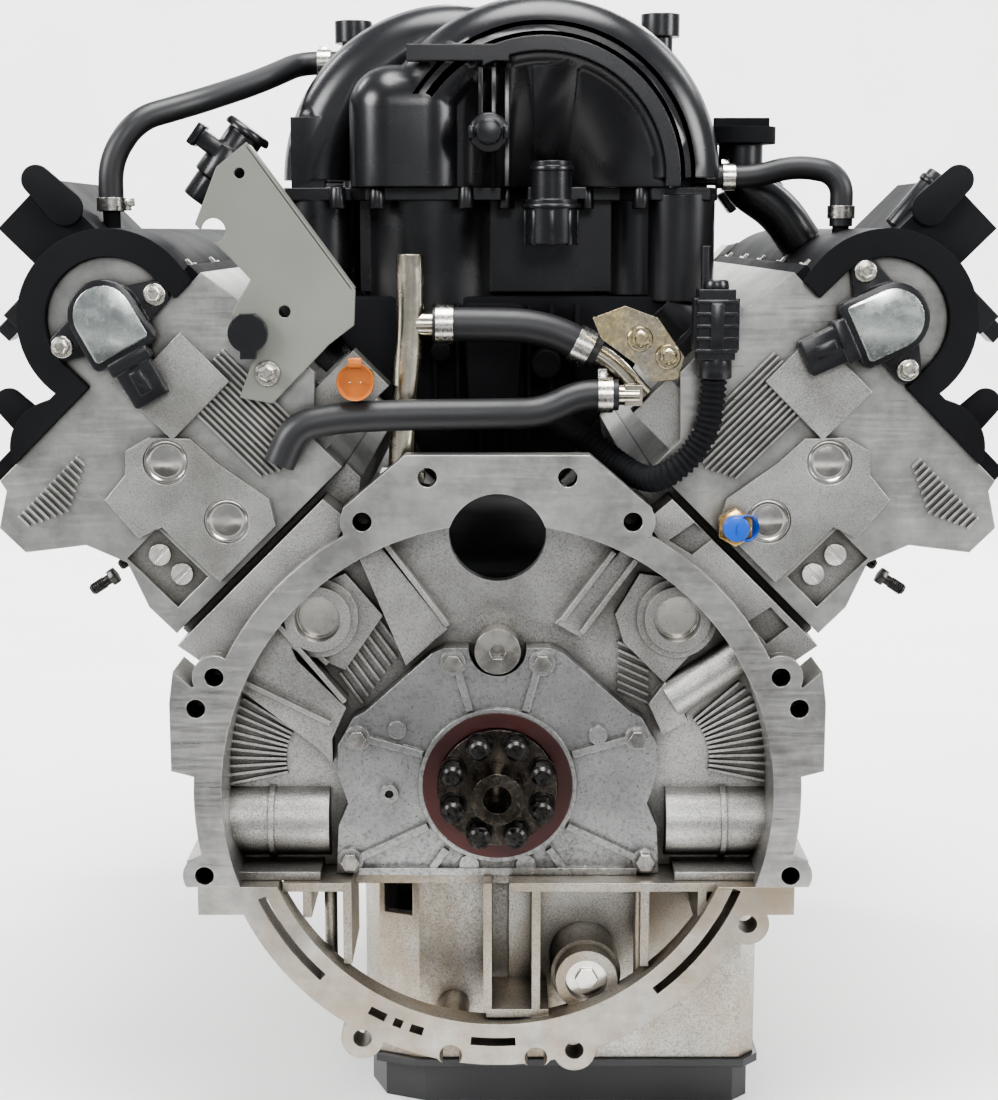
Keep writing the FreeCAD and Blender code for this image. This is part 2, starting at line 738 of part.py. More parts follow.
def cylinder_head(side):
    """The two heads are mirror images, so each is drawn by its hand."""
    length = "block_front - head_rear"
    inlet = cam_axes(side)[0][0]
    end = "cover_arch - 19"
    parts = [slab("XZ", head_section(side), length, (0, "head_rear", 0)), end_plate(side),
             cylinder(end, 14, (inlet, "head_rear", "inlet_height")),
             box(("2 * (%s)" % end, 14, 50), ("%s - (%s)" % (inlet, end), "head_rear",
                                             "inlet_height - 50")),
             box((56, 8, 46), (inlet + " - 28", "head_rear - 6", "head_top - 64")),
             box((62 if side < 0 else 36, 28, 34),
                 (84, "head_rear + 8", DECK + " + 16") if side < 0 else
                 (-120, "head_rear + 8", DECK + " + 16"))]
    parts += cooling_fins(side)
    trough = box(("2 * cover_half_width - 18", length + " - 22", 60),
                 ("-cover_half_width + 9", "head_rear + 14", "exhaust_height - 32"))
    towers = []
    tools = []
    for across, up in cam_axes(side):
        for number in CAM_TOWERS:
            start = "first_bore + (%s) * bore_pitch - 9" % number
            towers.append(box((32, 18, "%s - exhaust_height + 52" % up),
                              (across + " - 16", start, "exhaust_height - 34")))
        tools.append(cylinder("cam_journal + bearing_clearance", 600,
                              (across, "head_rear + 8", up)))
    for number in CYLINDERS:
        y = bore_place(side, number)
        port = cylinder(17, 16, ("%d * (port_face + 1)" % side, y, "head_top - 36"),
                        "-X" if side > 0 else "X")
        inlet_port = cylinder(19, 14, ("-(%d) * (inlet_face + 1)" % side, y, "head_top - 74"),
                              "X" if side > 0 else "-X")
        chamber = cone("bore / 2 - 4", "bore / 2 - 30", 12, (0, y, DECK + " - 0.01"), "Z")
        tools.extend([port, inlet_port, chamber])
    for x, z in HEAD_PLUGS:
        tools.append(cylinder(15.5, 12, (side * x, "head_rear - 7", z)))
    tools.append(box((30, 14, 48), (side * 49 - 15, "head_rear - 7", DECK + " + 12")))
    return cut(fuse([cut(fuse(parts), [trough])] + towers), tools)


GALLERY_PLUGS = [(47, 46), (46, 26)]


def slotted_plug(side, x, z):
    """A gallery plug with a screwdriver slot, in the pocket of a head."""
    at = (side * x, "head_rear + 2", "%s + %s" % (DECK, z))
    slot = box((16, 2, 2.4), (side * x - 8, "head_rear + 1", "%s + %s" % (DECK, z - 1.2)))
    return cut(cylinder(7.5, 5, at), [slot])


def heads():
    gaskets = []
    for bank, side in BANKS.items():
        node("head_" + bank, turned(cylinder_head(side), side))
        sheet_points = [("-deck_inner + 1", "deck_height"), ("deck_outer - 1", "deck_height"),
                        ("deck_outer - 1", DECK), ("-deck_inner + 1", DECK)]
        strip = slab("XZ", flip(sheet_points, side), "block_front - block_rear - 2",
                     (0, "block_rear + 1", 0))
        holes = [cylinder("bore / 2 + 1", 20, (0, bore_place(side, number), "deck_height - 10"), "Z")
                 for number in CYLINDERS]
        gaskets.append(turned(cut(strip, holes), side))
    node("head_gaskets", group(gaskets))
    cups = []
    for side in BANKS.values():
        for x, z in HEAD_PLUGS:
            cups.append(turned(cup_plug(15.5, (side * x, "head_rear - 3", z)), side))
        for x, z in GALLERY_PLUGS:
            cups.append(turned(slotted_plug(side, x, z), side))
    node("head_core_plugs", group(cups))


# ---------------------------------------------------------------- cam covers
def cover_shape(side, shrink, y, length):
    """The tall arch over the inlet camshaft, the low one over the exhaust, and a bridge."""
    inlet, outlet = cam_axes(side)
    bridge = "exhaust_height + cover_hump - 6 - %s" % shrink
    return [cylinder("cover_arch - %s" % shrink, length, (inlet[0], y, inlet[1])),
            cylinder("cover_hump - %s" % shrink, length, (outlet[0], y, outlet[1])),
            box(("exhaust_offset + inlet_offset", length, bridge + " - head_top + 30"),
                ("-inlet_offset" if side > 0 else "-exhaust_offset", y, "head_top - 30"))]


def cam_cover(side):
    rear = "head_rear - 7"
    length = "block_front - head_rear + 7"
    inlet = cam_axes(side)[0][0]
    parts = cover_shape(side, 0, rear, length)
    parts.append(box(("cover_half_width + inlet_face - 8", length + " - 8", 9),
                     ("-inlet_face + 8" if side > 0 else "-cover_half_width", "head_rear + 1",
                      "head_top + 0.2")))
    parts.append(box((46, 170, 72), (inlet + (" - 36" if side > 0 else " - 10"), "head_rear + 10",
                                     "inlet_height + 24")))
    hollow = cover_shape(side, "cover_wall", "head_rear + 2", length)
    below = box((400, 700, 300), (-200, -60, "head_top + 0.2 - 300"))
    end = "cover_arch - 18.7"
    gap = [cylinder(end, 24, (inlet, "head_rear - 8", "inlet_height")),
           box(("2 * (%s)" % end, 24, 60), ("%s - (%s)" % (inlet, end), "head_rear - 8",
                                            "inlet_height - 60"))]
    shell = cut(fuse(parts), [fuse(hollow), below] + gap)
    tubes = []
    wells = []
    for number in CYLINDERS:
        at = (0, bore_place(side, number), "head_top + 0.2")
        tubes.append(cylinder(15.5, "inlet_height + cover_arch - 14 - head_top", at, "Z"))
        wells.append(cylinder(12.7, 90, at, "Z"))
    return cut(fuse([shell] + tubes), wells)


BREATHERS = {"left": (-268, 60), "right": (246, 102)}


def cam_covers():
    sensors_in_place = []
    for bank, side in BANKS.items():
        x, y = BREATHERS[bank]
        nipple = cylinder(6, 30, (x, y, 379), "Z")
        node("cam_cover_" + bank, fuse([turned(cam_cover(side), side), nipple]))
        sensors_in_place.append(turned(phase_sensor(side), side))
    node("phase_sensors", group(sensors_in_place))
    coils = []
    for side in BANKS.values():
        for number in CYLINDERS:
            y = bore_place(side, number)
            top = "inlet_height + cover_arch - 12.5"
            coil = [box((30, 40, 18), (-9 if side > 0 else -21, y + " - 20", top)),
                    cylinder(12, "%s - head_top + 1" % top, (0, y, "head_top"), "Z"),
                    box((20, 20, 12), ("%d * 24 - 10" % side, y + " - 10", top + " + 4"))]
            coils.append(turned(fuse(coil), side))
    node("ignition_coils", group(coils))


def phase_sensor(side):
    """The pick-up at the flywheel end of an inlet camshaft, held by two bolts."""
    inlet, up = cam_axes(side)[0]
    face = "head_rear - 6"
    body = [cylinder(23, 12, (inlet, face + " + 5.9", up), "-Y"),
            box((80, 5, 17), (inlet + " - 40", face + " + 0.9", up + " - 8.5")),
            box((46, 9, 28), (inlet + " - 23", face + " - 3.1", up + " - 26")),
            box((24, 12, 42), (inlet + " - 12", face + " - 12.2", up + " - 62"))]
    for way in (-1, 1):
        body.append(hexagon(7, 6, (inlet + " + %d" % (way * 34), face + " - 5", up)))
    return fuse(body)


# ---------------------------------------------------------------- camshafts
def camshaft(side, axis, lead):
    """A shaft with two lobes to a cylinder and a sprocket at the front."""
    parts = [cylinder("cam_journal", "block_front - head_rear + 20",
                      (0, "head_rear + 15", 0)),
             cylinder("sprocket_radius", 8, (0, "block_front + 10", 0))]
    for number in CYLINDERS:
        for valve in (-1, 1):
            y = "%s + (%d) * 19 - lobe_width / 2" % (bore_place(side, number), valve)
            parts.append(place(group([lobe()]), (0, y, 0), turn=lead + THROWS[number]))
    whole = fuse(parts)
    return turned(place(group([whole]), (axis[0], 0, axis[1])), side)


def lobe():
    """A cam's outline: the base circle drawn into a nose."""
    nose = "cam_base + cam_lift"
    half = [("cam_base * 0.42", "-cam_base * 0.9"), ("cam_base", "-cam_base * 0.3"),
            ("cam_base", "cam_base * 0.3"), ("cam_base * 0.4", nose)]
    return slab("XZ", mirrored(half), "lobe_width")


def camshafts():
    for bank, side in BANKS.items():
        inlet, outlet = cam_axes(side)
        node("camshaft_inlet_" + bank, camshaft(side, inlet, 20))
        node("camshaft_exhaust_" + bank, camshaft(side, outlet, 110))


# ---------------------------------------------------------------- timing end
def timing_cover():
    """The front cover over the chains: a centre and an arm to the end of each bank."""
    start = "block_front + 0.3"
    outer = [("skirt_half_width + 8", "rail_level"), ("skirt_half_width + 8", 30), (60, 170)]
    parts = [slab("XZ", mirrored(outer), "timing_depth", (0, start, 0))]
    room = [("skirt_half_width", "rail_level - 10"), ("skirt_half_width", 26), (55, 160)]
    holes = [slab("XZ", mirrored(room), "timing_depth - 7", (0, "block_front - 1", 0))]
    for side in BANKS.values():
        arm = [(-100, 60), (80, 60), (88, 300), ("cover_half_width + 2", "exhaust_height + 12"),
               (74, "exhaust_height + cover_hump + 8"), (22, "exhaust_height + cover_hump + 14"),
               (-6, "inlet_height + cover_arch - 8"), (-80, "inlet_height + cover_arch - 8"),
               ("-inlet_face + 6", "inlet_height")]
        room = [(-92, 60), (72, 60), (80, 300), ("cover_half_width - 6", "exhaust_height + 8"),
                (70, "exhaust_height + cover_hump + 2"), (18, "exhaust_height + cover_hump + 8"),
                (-10, "inlet_height + cover_arch - 15"), (-76, "inlet_height + cover_arch - 15"),
                ("-inlet_face + 14", "inlet_height - 2")]
        parts.append(turned(slab("XZ", flip(arm, side), "timing_depth", (0, start, 0)), side))
        holes.append(turned(slab("XZ", flip(room, side), "timing_depth - 7",
                                 (0, "block_front - 1", 0)), side))
    holes.append(cylinder("nose_radius + 4", 80, (0, "block_front + 10", 0)))
    whole = cut(fuse(parts), [fuse(holes)])
    parts = [whole, cylinder(38, 26, (0, "block_front + timing_depth - 8", 190)),
             cylinder(31, 40, ("-skirt_half_width - 2", "block_front + timing_depth - 8", -20))]
    trim = [cylinder(12, 30, (0, "block_front + timing_depth - 9", 190)),
            cylinder("nose_radius + 4", 80, (0, "block_front + 10", 0))]
    node("timing_cover", cut(fuse(parts), trim))


def front_drive():
    """What the crankshaft's nose carries, and the water pump, oil filter and thermostat."""
    front = "block_front + timing_depth + 6"
    hub = cylinder("pulley_radius", "pulley_width", (0, front, 0))
    grooves = [ring("pulley_radius - 4", "pulley_radius + 3", 4, (0, front + " + %d" % offset, 0))
               for offset in (8, 17, 26)]
    dish = ring(34, "pulley_radius - 14", 14, (0, front + " + pulley_width - 12", 0))
    bore = cylinder("nose_radius", 90, (0, front + " - 2", 0))
    node("crank_pulley", cut(hub, grooves + [dish, bore]))
    node("crank_sprocket", ring("nose_radius", "sprocket_radius / 2 + 4", 16, (0, "block_front + 8", 0)))
    bolt = [cylinder(20, 4, (0, "block_front + 95.2", 0)), hexagon(14, 12, (0, "block_front + 99", 0))]
    node("crank_pulley_bolt", fuse(bolt))
    pump = "block_front + timing_depth + 18.4"
    node("water_pump_pulley", fuse([cylinder(11.7, 34, (0, pump + " - 24", 190)),
                                    ring(44, 58, 24, (0, pump + " + 2", 190)),
                                    cylinder(46, 4, (0, pump + " + 2", 190))]))
    node("oil_filter", fuse([cylinder(37, 78, ("-skirt_half_width - 2",
                                               "block_front + timing_depth + 32.2", -20)),
                             cylinder(33, 8, ("-skirt_half_width - 2",
                                              "block_front + timing_depth + 108", -20))]))


# ---------------------------------------------------------------- sump
ARC_HOLES = [(-95, -176), (54, -185), (174, -92)]


def arc_slot(inner, outer, first, last):
    """A curved through slot, between two angles below the horizontal."""
    reach = 260
    wedge = [(0, 0)] + [(reach * math.cos(math.radians(a)), -reach * math.sin(math.radians(a)))
                        for a in (first, (first + last) / 2, last)]
    band = ring(inner, outer, "arc_depth + 4", (0, "bell_face - 2", 0))
    return common(band, slab("XZ", wedge, "arc_depth + 4", (0, "bell_face - 2", 0)))


def arc_flange():
    """The lower part of the bell housing face, with its webs."""
    band = [cylinder("arc_outer", "arc_depth", (0, "bell_face", 0))]
    for x, z in ARC_HOLES:
        band.append(cylinder("bell_boss", "arc_depth + 4", (x, "bell_face", z)))
    band.append(box((44, 44, 20), (-208, "bell_face", "rail_level - 20.2")))
    band.append(box((44, 44, 20), (162, "bell_face", "rail_level - 20.2")))
    for x, z in ((-33, -184), (27, -186)):
        band.append(cylinder(12, "sump_rear - bell_face", (x, "bell_face", z)))
    hollow = [cylinder("arc_inner", 60, (0, "bell_face - 1", 0))]
    for x, z in ((-33, -189), (27, -191)):
        hollow.append(cylinder(8, 60, (x, "bell_face - 1", z)))
    for first, last in ((24, 47), (60, 64), (66, 68), (70, 73), (84, 94), (128, 158)):
        hollow.append(arc_slot("arc_inner + 10", "arc_inner + 16", 180 - last, 180 - first))
    return cut(fuse(band), hollow)


def tub_outline(grow):
    """The sump's plan: a round rear corner on the left, square to the right."""
    left, right = "-sump_left - %s" % grow, "sump_right + %s" % grow
    rear, front = "sump_rear - %s" % grow, "sump_front + %s" % grow
    return [("%s + 42" % left, rear), ("%s - 12" % right, rear), (right, "%s + 12" % rear),
            (right, front), (left, front), (left, "%s + 42" % rear), ("%s + 12" % left, "%s + 12" % rear)]


def sump_upper():
    rail = "rail_level - rail_thickness"
    top = box(("2 * rail_half_width", "block_front - block_rear", "rail_thickness - 0.2"),
              ("-rail_half_width", "block_rear", rail))
    depth = "sump_split - 0.3 + rail_level"
    tub = slab("XY", tub_outline(0), depth, (0, 0, "-sump_split + 0.3"))
    deep = slab("XY", tub_outline("(-sump_wall)"), "sump_split", (0, 0, "-sump_split - 1"))
    rear = slab("XZ", [(8, "rail_level - 0.2"), (8, -166), (150, -166), (168, -100),
                       (176, "rail_level - 0.2")], 10, (0, "sump_rear - 10", 0))
    parts = [top, tub, arc_flange(), rear]
    for x, foot in ((-136, -90), (-108, -124), (-10, -160), (24, -160), (100, -126), (140, -100)):
        parts.append(box((6, "sump_rear - bell_face - 8", "rail_level - (%d)" % foot),
                         (x, "bell_face + 8", foot)))
    for x in (-150, 8):
        length = 46 if x < 0 else 160
        parts.append(box((length, "sump_rear - bell_face - 6", 6), (x, "bell_face + 8", "rail_level - 6.2")))
    parts.append(cylinder(22, "sump_rear + 4", (63, -4, -140)))
    parts.append(cylinder(25, "sump_rear - 10", (63, 10, -140)))
    for x in (-118, 101):
        parts.append(cylinder(4.5, "-rail_level + 82 - 2 * rail_thickness", (x, 6, "rail_level - 82"), "Z"))
    parts.append(box((44, 60, 6), (-8, "bell_face + 8", -164)))
    tools = [deep, box(("2 * web_radius + 16", "block_front - block_rear - 60", 60),
                       ("-web_radius - 8", "block_rear + 32", "rail_level - 50")),
             cylinder(15, 12, (63, -5, -140)),
             box((600, 100, 400), (-300, -60, "rail_level - 0.2"))]
    for x, z in ARC_HOLES:
        tools.append(cylinder("bell_hole", 40, (x, "bell_face - 1", z)))
    node("sump_upper", cut(fuse(parts), tools))


def sump_lower():
    """The pressed steel pan below the cast sump."""
    pan = slab("XY", tub_outline("(-4)"), "sump_floor - sump_split - 6", (0, 0, "-sump_floor"))
    lip = slab("XY", tub_outline(3), 6, (0, 0, "-sump_split - 6"))
    deep = slab("XY", tub_outline("(-6)"), "sump_floor", (0, 0, "-sump_floor + 2"))
    node("sump_lower_pan", cut(fuse([pan, lip]), [deep]))
    boss = cylinder(11, 10, (60, "sump_front - 3.5", "-sump_split - 20"))
    drain = fuse([boss, hexagon(9, 7, (60, "sump_front + 6", "-sump_split - 20"))])
    side_plug = fuse([cylinder(15, 5, (63, 1, -140)), hexagon(8, 4, (63, -2, -140))])
    node("sump_plugs", group([side_plug, drain]))


# ---------------------------------------------------------------- intake manifold
ARCH_SIDES = 16


def half_ring(shift, y):
    """One runner's arch, from the plenum on one side over to the ports on the other."""
    body = doc.addObject("PartDesign::Body", "Arch")
    section = []
    for number in range(ARCH_SIDES):
        angle = 2 * math.pi * (number + 0.5) / ARCH_SIDES
        section.append(("runner_sweep + runner_radius * %.4f" % math.cos(angle),
                        "runner_radius * %.4f" % math.sin(angle)))
    sketch = draw(body, "XY", section)
    turn = body.newObject("PartDesign::Revolution", "Turn")
    turn.Profile = sketch
    turn.ReferenceAxis = (sketch, ["V_Axis"])
    turn.Angle = 180
    turn.Reversed = True
    body.Tip = turn
    return place(body, (shift, y, "runner_level"))


def runner_places(side):
    """Where the four runners of one bank stand along the engine."""
    shift = -9 if side > 0 else 25
    return ["%s + %d" % (bore_place(side, number), shift) for number in CYLINDERS]


def intake_upper():
    """The moulded top: eight crossing arches over the rear dome and the plenum."""
    top = "seam_level + seam_thickness"
    parts = []
    for side in BANKS.values():
        for y in runner_places(side):
            parts.append(half_ring("%d * runner_offset" % side, y))
    length = "plenum_front - plenum_rear"
    parts.append(cylinder("runner_sweep - 22", length + " - 20", (0, "plenum_rear + 20", "runner_level")))
    dome = box((82, 80, "runner_level + 78 - (%s)" % top), (-104, "plenum_rear - 20", top))
    parts.append(rounded(dome, 30, lambda edge: True, floor=True))
    parts.append(cylinder("runner_sweep - 12", 30, ("runner_offset", "plenum_rear - 8", "runner_level")))
    panel = [(24, "runner_level + 76"), (55, "runner_level + 76"), (48, top), (27, top)]
    parts.append(slab("XZ", panel, 12, (0, "plenum_rear - 9.6", 0)))
    for x in (-13, -4, 5):
        parts.append(box((3, 18, "runner_level + 74 - (%s)" % top), (x, "plenum_rear - 20", top)))
    parts.append(cylinder(10, 16, (-6, "plenum_rear - 26", "runner_level + 30")))
    parts.append(box((70, 12, 11), (-62, "plenum_rear - 24", "runner_level + 78")))
    rim = ring("runner_sweep - 13", "runner_sweep - 3", 12, ("runner_offset", "plenum_rear - 24",
                                                            "runner_level"))
    keep = slab("XZ", [(-10, top), (300, top), (300, 700), (-10, 700)], 60, (0, "plenum_rear - 40", 0))
    parts.append(common(rim, keep))
    for x, y in ((-148, 36), (128, 50)):
        parts.append(box((24, 16, 52), (x, "plenum_rear + %d" % y, top + " - 2")))
    parts.append(cylinder(6, 34, (140, 112, "seam_level + 17"), "X"))
    below = box((600, 700, 300), (-300, -60, top + " - 0.01 - 300"))
    entry = cylinder("throttle_bore + 1", 30, (0, "plenum_front - 26", "seam_level + 44"))
    node("intake_upper", cut(fuse(parts), [below, entry]))


def rounded(shape, radius, keep, floor=False):
    """Round a block's edges, but leave those round its floor."""
    doc.recompute()
    fillet = doc.addObject("Part::Fillet", "Rounded")
    fillet.Base = shape
    low = shape.Shape.BoundBox.ZMin
    chosen = []
    for index, edge in enumerate(shape.Shape.Edges, start=1):
        flat = edge.BoundBox.ZMax - low < 0.01
        if keep(edge) and not (floor and flat):
            chosen.append((index, radius, radius))
    fillet.Edges = chosen
    return fillet


def intake_lower():
    top = "seam_level - 0.2"
    parts = [slab("XY", seam_outline(), "seam_thickness - 0.3", (0, 0, "seam_level"))]
    parts.append(cylinder(50, 92, (-48, "plenum_rear + 46", top + " - 90"), "Z"))
    parts.append(box((196, "plenum_front - plenum_rear - 40", 66),
                     (-98, "plenum_rear + 20", top + " - 64")))
    parts.append(cylinder(20, 70, (100, "plenum_rear + 26", top + " - 66"), "Z"))
    for side in BANKS.values():
        for number in CYLINDERS:
            y = bore_place(side, number)
            parts.append(cylinder(25, 74, ("%d * (runner_offset + runner_sweep)" % side, y,
                                           top + " - 70"), "Z"))
        flange = box((9, "block_front - 80", 62),
                     ("-inlet_face - 9.3" if side > 0 else "inlet_face + 0.3", 44, "head_top - 105"))
        parts.append(turned(flange, side))
        for number in CYLINDERS:
            y = bore_place(side, number)
            neck = cylinder(23, 34, ("-(%d) * (inlet_face + 0.3)" % side, y, "head_top - 74"),
                            "-X" if side > 0 else "X")
            parts.append(turned(neck, side))
    node("intake_lower", fuse(parts))


def seam_outline():
    """The manifold's plan at its seam: lobed at the flywheel end."""
    edge = "runner_offset + runner_sweep + runner_radius"
    rear = "plenum_rear"
    return [("-(%s) + 6" % edge, rear + " + 12"), ("-(%s)" % edge, rear + " + 30"),
            ("-(%s)" % edge, "plenum_front"), (edge, "plenum_front"), (edge, rear + " + 20"),
            ("%s - 8" % edge, rear + " - 4"), (108, rear + " - 4"),
            (86, rear + " + 10"), (20, rear + " + 6"), (2, rear + " - 6"), (-92, rear + " - 6"),
            (-104, rear + " + 12")]


def throttle():
    """The throttle body on the front of the plenum, its butterfly and its motor case."""
    start, axis = "plenum_front + 0.2", "seam_level + 44"
    body = [cylinder("throttle_bore + 8", 42, (0, start, axis)),
            cylinder("throttle_bore + 5", "42 + spigot_length", (0, start, axis)),
            box((104, 8, 104), (-52, start, axis + " - 52")),
            box((44, 34, 76), (38, start + " + 6", axis + " - 38"))]
    shaft = cylinder(5.3, 110, (-50, start + " + 28", axis), "X")
    bore = cylinder("throttle_bore", 76, (0, start + " - 2", axis))
    node("throttle_body", cut(fuse(body), [bore, shaft]))
    plate = cylinder("throttle_bore - 0.6", 2.5, (0, start + " + 26.75", axis))
    node("throttle_plate", fuse([plate, cylinder(5, 84, (-42, start + " + 28", axis), "X")]))


def posts():
    """The two cover posts and the purge canister on the rear of the manifold."""
    towers = []
    for side in BANKS.values():
        x, y = (-108, 188) if side < 0 else (118, 141)
        foot = "seam_level + seam_thickness + 0.2"
        towers.append(fuse([cylinder(9, 118, (x, y, foot), "Z"),
                            cylinder(14, 16, (x, y, foot + " + 108"), "Z")]))
    towers[0] = fuse([towers[0], cylinder(6, 30, (-108, 188, 508), "-X")])
    node("cover_posts", group(towers))
    can = fuse([cylinder(18, 30, (37, "plenum_rear - 24", "seam_level - 30"), "Z"),
                cylinder(14, 28, (37, "plenum_rear - 24", "seam_level - 2"), "Z"),
                box((40, 28, 8), (21, "plenum_rear - 22.4", "seam_level + 0.4"))])
    node("purge_valve", can)


def oil_filler():
    """The filler neck on the right cam cover and its quarter-turn cap."""
    neck = tube([(224.1, 140, 374.6), (206.8, 140, 399.1), (178, 140, 418), (178, 140, 446)], 16)
    node("oil_filler_neck", neck)
    cap = [cylinder(25, 12, (178, 140, 446.4), "Z"), box((40, 9, 9), (158, 135.5, 456))]
    node("oil_filler_cap", fuse(cap))


# ---------------------------------------------------------------- pipes, hoses and harness
def pipes():
    """Steel coolant pipes at the flywheel end, and the hoses that they carry."""
    riser = tube([(-66, 18, 222), (-64, 18, 262), (-59, 18, 318), (-59, 18, 368)], 9.3, 7.8)
    foot = [box((30, 28.5, 6), (-80, -1.8, 216)), box((30, 4, 14), (-80, -1.8, 206))]
    node("coolant_pipe", fuse([riser, cylinder(8.4, 34, (-58, 18, 321), "X")] + foot))
    upper = [(-44, 18, 321), (-12, 18, 321), (20, 20, 320), (42, 22, 314.6), (68, 22, 300.7)]
    node("heater_hose_upper", tube(upper, 11.7, 8.7))
    lower = [(-146, -17, 230), (-135, -17, 255), (-104, -15, 261), (-58, -8, 262), (-10, -4, 262),
             (30, 4, 262), (56, 8, 274), (82, 8, 274)]
    node("heater_hose_lower", tube(lower, 10.5, 7.2))
    heater = [tube([(52, 22, 309.25), (78, 22, 295.35), (99, 22, 271)], 8.4),
              cylinder(6.9, 30, (66, 8, 274), "X"), box((12, 18, 14), (86, 2, 267))]
    node("heater_pipe", fuse(heater))
    left = [(-268, 60, 397), (-268, 60, 432), (-250, 66, 460), (-212, 90, 473), (-176, 140, 490),
            (-148, 188, 508), (-118, 188, 508)]
    node("breather_hose_left", tube(left, 8.6, 6.3))
    right = [(157, 112, 422), (184, 112, 422), (214, 108, 430), (246, 102, 424), (246, 102, 387)]
    node("breather_hose_right", tube(right, 8.2, 6.3))
    conduit = [(144, -17, 300), (144, -17, 264), (133, -17, 238), (113, -17, 221),
               (99.5, 1, 216.5), (82, 22, 226), (60, 34, 243), (40, 60, 252)]
    node("harness_conduit", tube(conduit, 9))
    plug = [box((24, 24, 46), (132, -29, 300)), box((30, 16, 34), (129, -25, 306)),
            box((10, 26, 8), (139, -26, 310)), cylinder(3, 30, (137, -16, 344), "Z")]
    node("harness_connector", fuse(plug))


def rear_brackets():
    """The grey harness bracket on the left head and the plated one on the right."""
    plate = [(-199, 388), (-184, 425), (-164, 441), (-94, 345), (-95, 322), (-112, 309), (-150, 270),
             (-172, 274), (-160, 306), (-176, 330), (-163, 352), (-176, 366)]
    sheet_metal = slab("XZ", plate, 3, (0, -14, 0))
    holes = [cylinder(3.5, 9, (-169, -17, 421)), cylinder(4, 9, (-141, -17, 331)),
             cylinder(8, 9, (-187, -17, 384))]
    legs = [cylinder(8, "head_rear + 10.9", (-153, -11, 287))]
    node("harness_bracket_left", fuse([cut(sheet_metal, holes)] + legs))
    node("harness_clip", fuse([cylinder(13, 8, (-165, -22.2, 317)), box((10, 8, 30), (-170, -22.2, 300))]))
    zinc = [(64, 326), (86, 334), (108, 326), (126, 300), (122, 285), (104, 283), (92, 296), (70, 312)]
    node("pipe_bracket_right", slab("XZ", zinc, 3, (0, 4.7, 0)))


def sensors():
    """Temperature senders in the heads."""
    up = DECK + " + 33.8"
    coolant = fuse([hexagon(11, 12, (135, -4.2, up)), cylinder(12, 14, (135, -18, up))])
    node("coolant_sensor", turned(coolant, -1))
    up = DECK + " + 11.2"
    pressure = fuse([cylinder(7, 14, (-19.1, -20.1, up)), box((17, 12, 15), (-27.6, -32, up + " - 7.5"))])
    node("pressure_sensor", turned(pressure, 1))


def finish():
    """Check every object of the document, then write each piece to its own file."""
    doc.recompute()
    for thing in doc.Objects:
        if "Invalid" in thing.State or "Error" in thing.State:
            raise RuntimeError("%s (%s) is %s" % (thing.Name, thing.Label, thing.State))
    for name, thing in NODES.items():
        shape = thing.Shape
        if shape.isNull() or not shape.isValid() or not shape.Solids:
            raise RuntimeError(name + " has no valid shape")
        shape.exportStep("parts/%s.step" % name)


cylinder_block()
rear_seal_retainer()
plugs()
crankshaft()
main_caps()
pistons()
heads()
cam_covers()
camshafts()
timing_cover()
front_drive()
sump_upper()
sump_lower()
intake_upper()
intake_lower()
throttle()
posts()
oil_filler()
pipes()
rear_brackets()
sensors()
finish()
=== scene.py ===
# %% [markdown]
# The complete V engine, seen from its flywheel end
#
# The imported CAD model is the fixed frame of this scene: every length is in metres, the origin lies
# on the crankshaft's axis in the plane of its rear flange, +Z is up and +Y runs towards the pulley
# end. We keep the shape of the CAD pieces and give each one the finish that the real casting,
# moulding or steel has. Small trim that a CAD model seldom carries is modelled here and rides on
# the same bodies.

# %% Load the frame
import json
import math

import bmesh
import bpy
from mathutils import Matrix, Vector


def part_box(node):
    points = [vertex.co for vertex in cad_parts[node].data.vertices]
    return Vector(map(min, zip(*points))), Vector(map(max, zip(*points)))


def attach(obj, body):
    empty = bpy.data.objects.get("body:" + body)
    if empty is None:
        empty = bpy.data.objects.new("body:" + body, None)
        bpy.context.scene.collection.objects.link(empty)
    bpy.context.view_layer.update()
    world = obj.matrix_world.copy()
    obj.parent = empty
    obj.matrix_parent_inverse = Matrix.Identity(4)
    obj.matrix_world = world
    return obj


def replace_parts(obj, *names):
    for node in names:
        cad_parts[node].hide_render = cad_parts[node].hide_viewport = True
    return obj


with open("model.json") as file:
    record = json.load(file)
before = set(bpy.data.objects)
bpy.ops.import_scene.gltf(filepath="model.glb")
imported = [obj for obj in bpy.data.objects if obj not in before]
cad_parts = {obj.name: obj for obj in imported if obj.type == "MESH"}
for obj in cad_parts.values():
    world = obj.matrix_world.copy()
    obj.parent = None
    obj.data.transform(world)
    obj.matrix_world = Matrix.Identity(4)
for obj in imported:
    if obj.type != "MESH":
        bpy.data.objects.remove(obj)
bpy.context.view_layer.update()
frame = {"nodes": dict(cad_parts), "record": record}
nodes = frame["nodes"]
MM = 0.001

# %% [markdown]
# The camera
#
# An engine on a stand is looked at from a little above its crankshaft. A camera about 1.3 m behind
# the flange, tilted down by nine and a half degrees, sees the flywheel end square on and the
# intake above it. A long lens keeps the two cylinder heads from spreading.

# %% Camera
CAMERA_PLACE = (0.001, -1.281, 0.383)
CAMERA_TILT = 9.5
FOCAL_LENGTH = 62.2
camera_data = bpy.data.cameras.new("camera")
camera_data.lens = FOCAL_LENGTH
camera_data.sensor_width = 36
camera = bpy.data.objects.new("camera", camera_data)
bpy.context.scene.collection.objects.link(camera)
camera.location = CAMERA_PLACE
camera.rotation_euler = (math.radians(90 - CAMERA_TILT), 0, 0)
bpy.context.scene.camera = camera

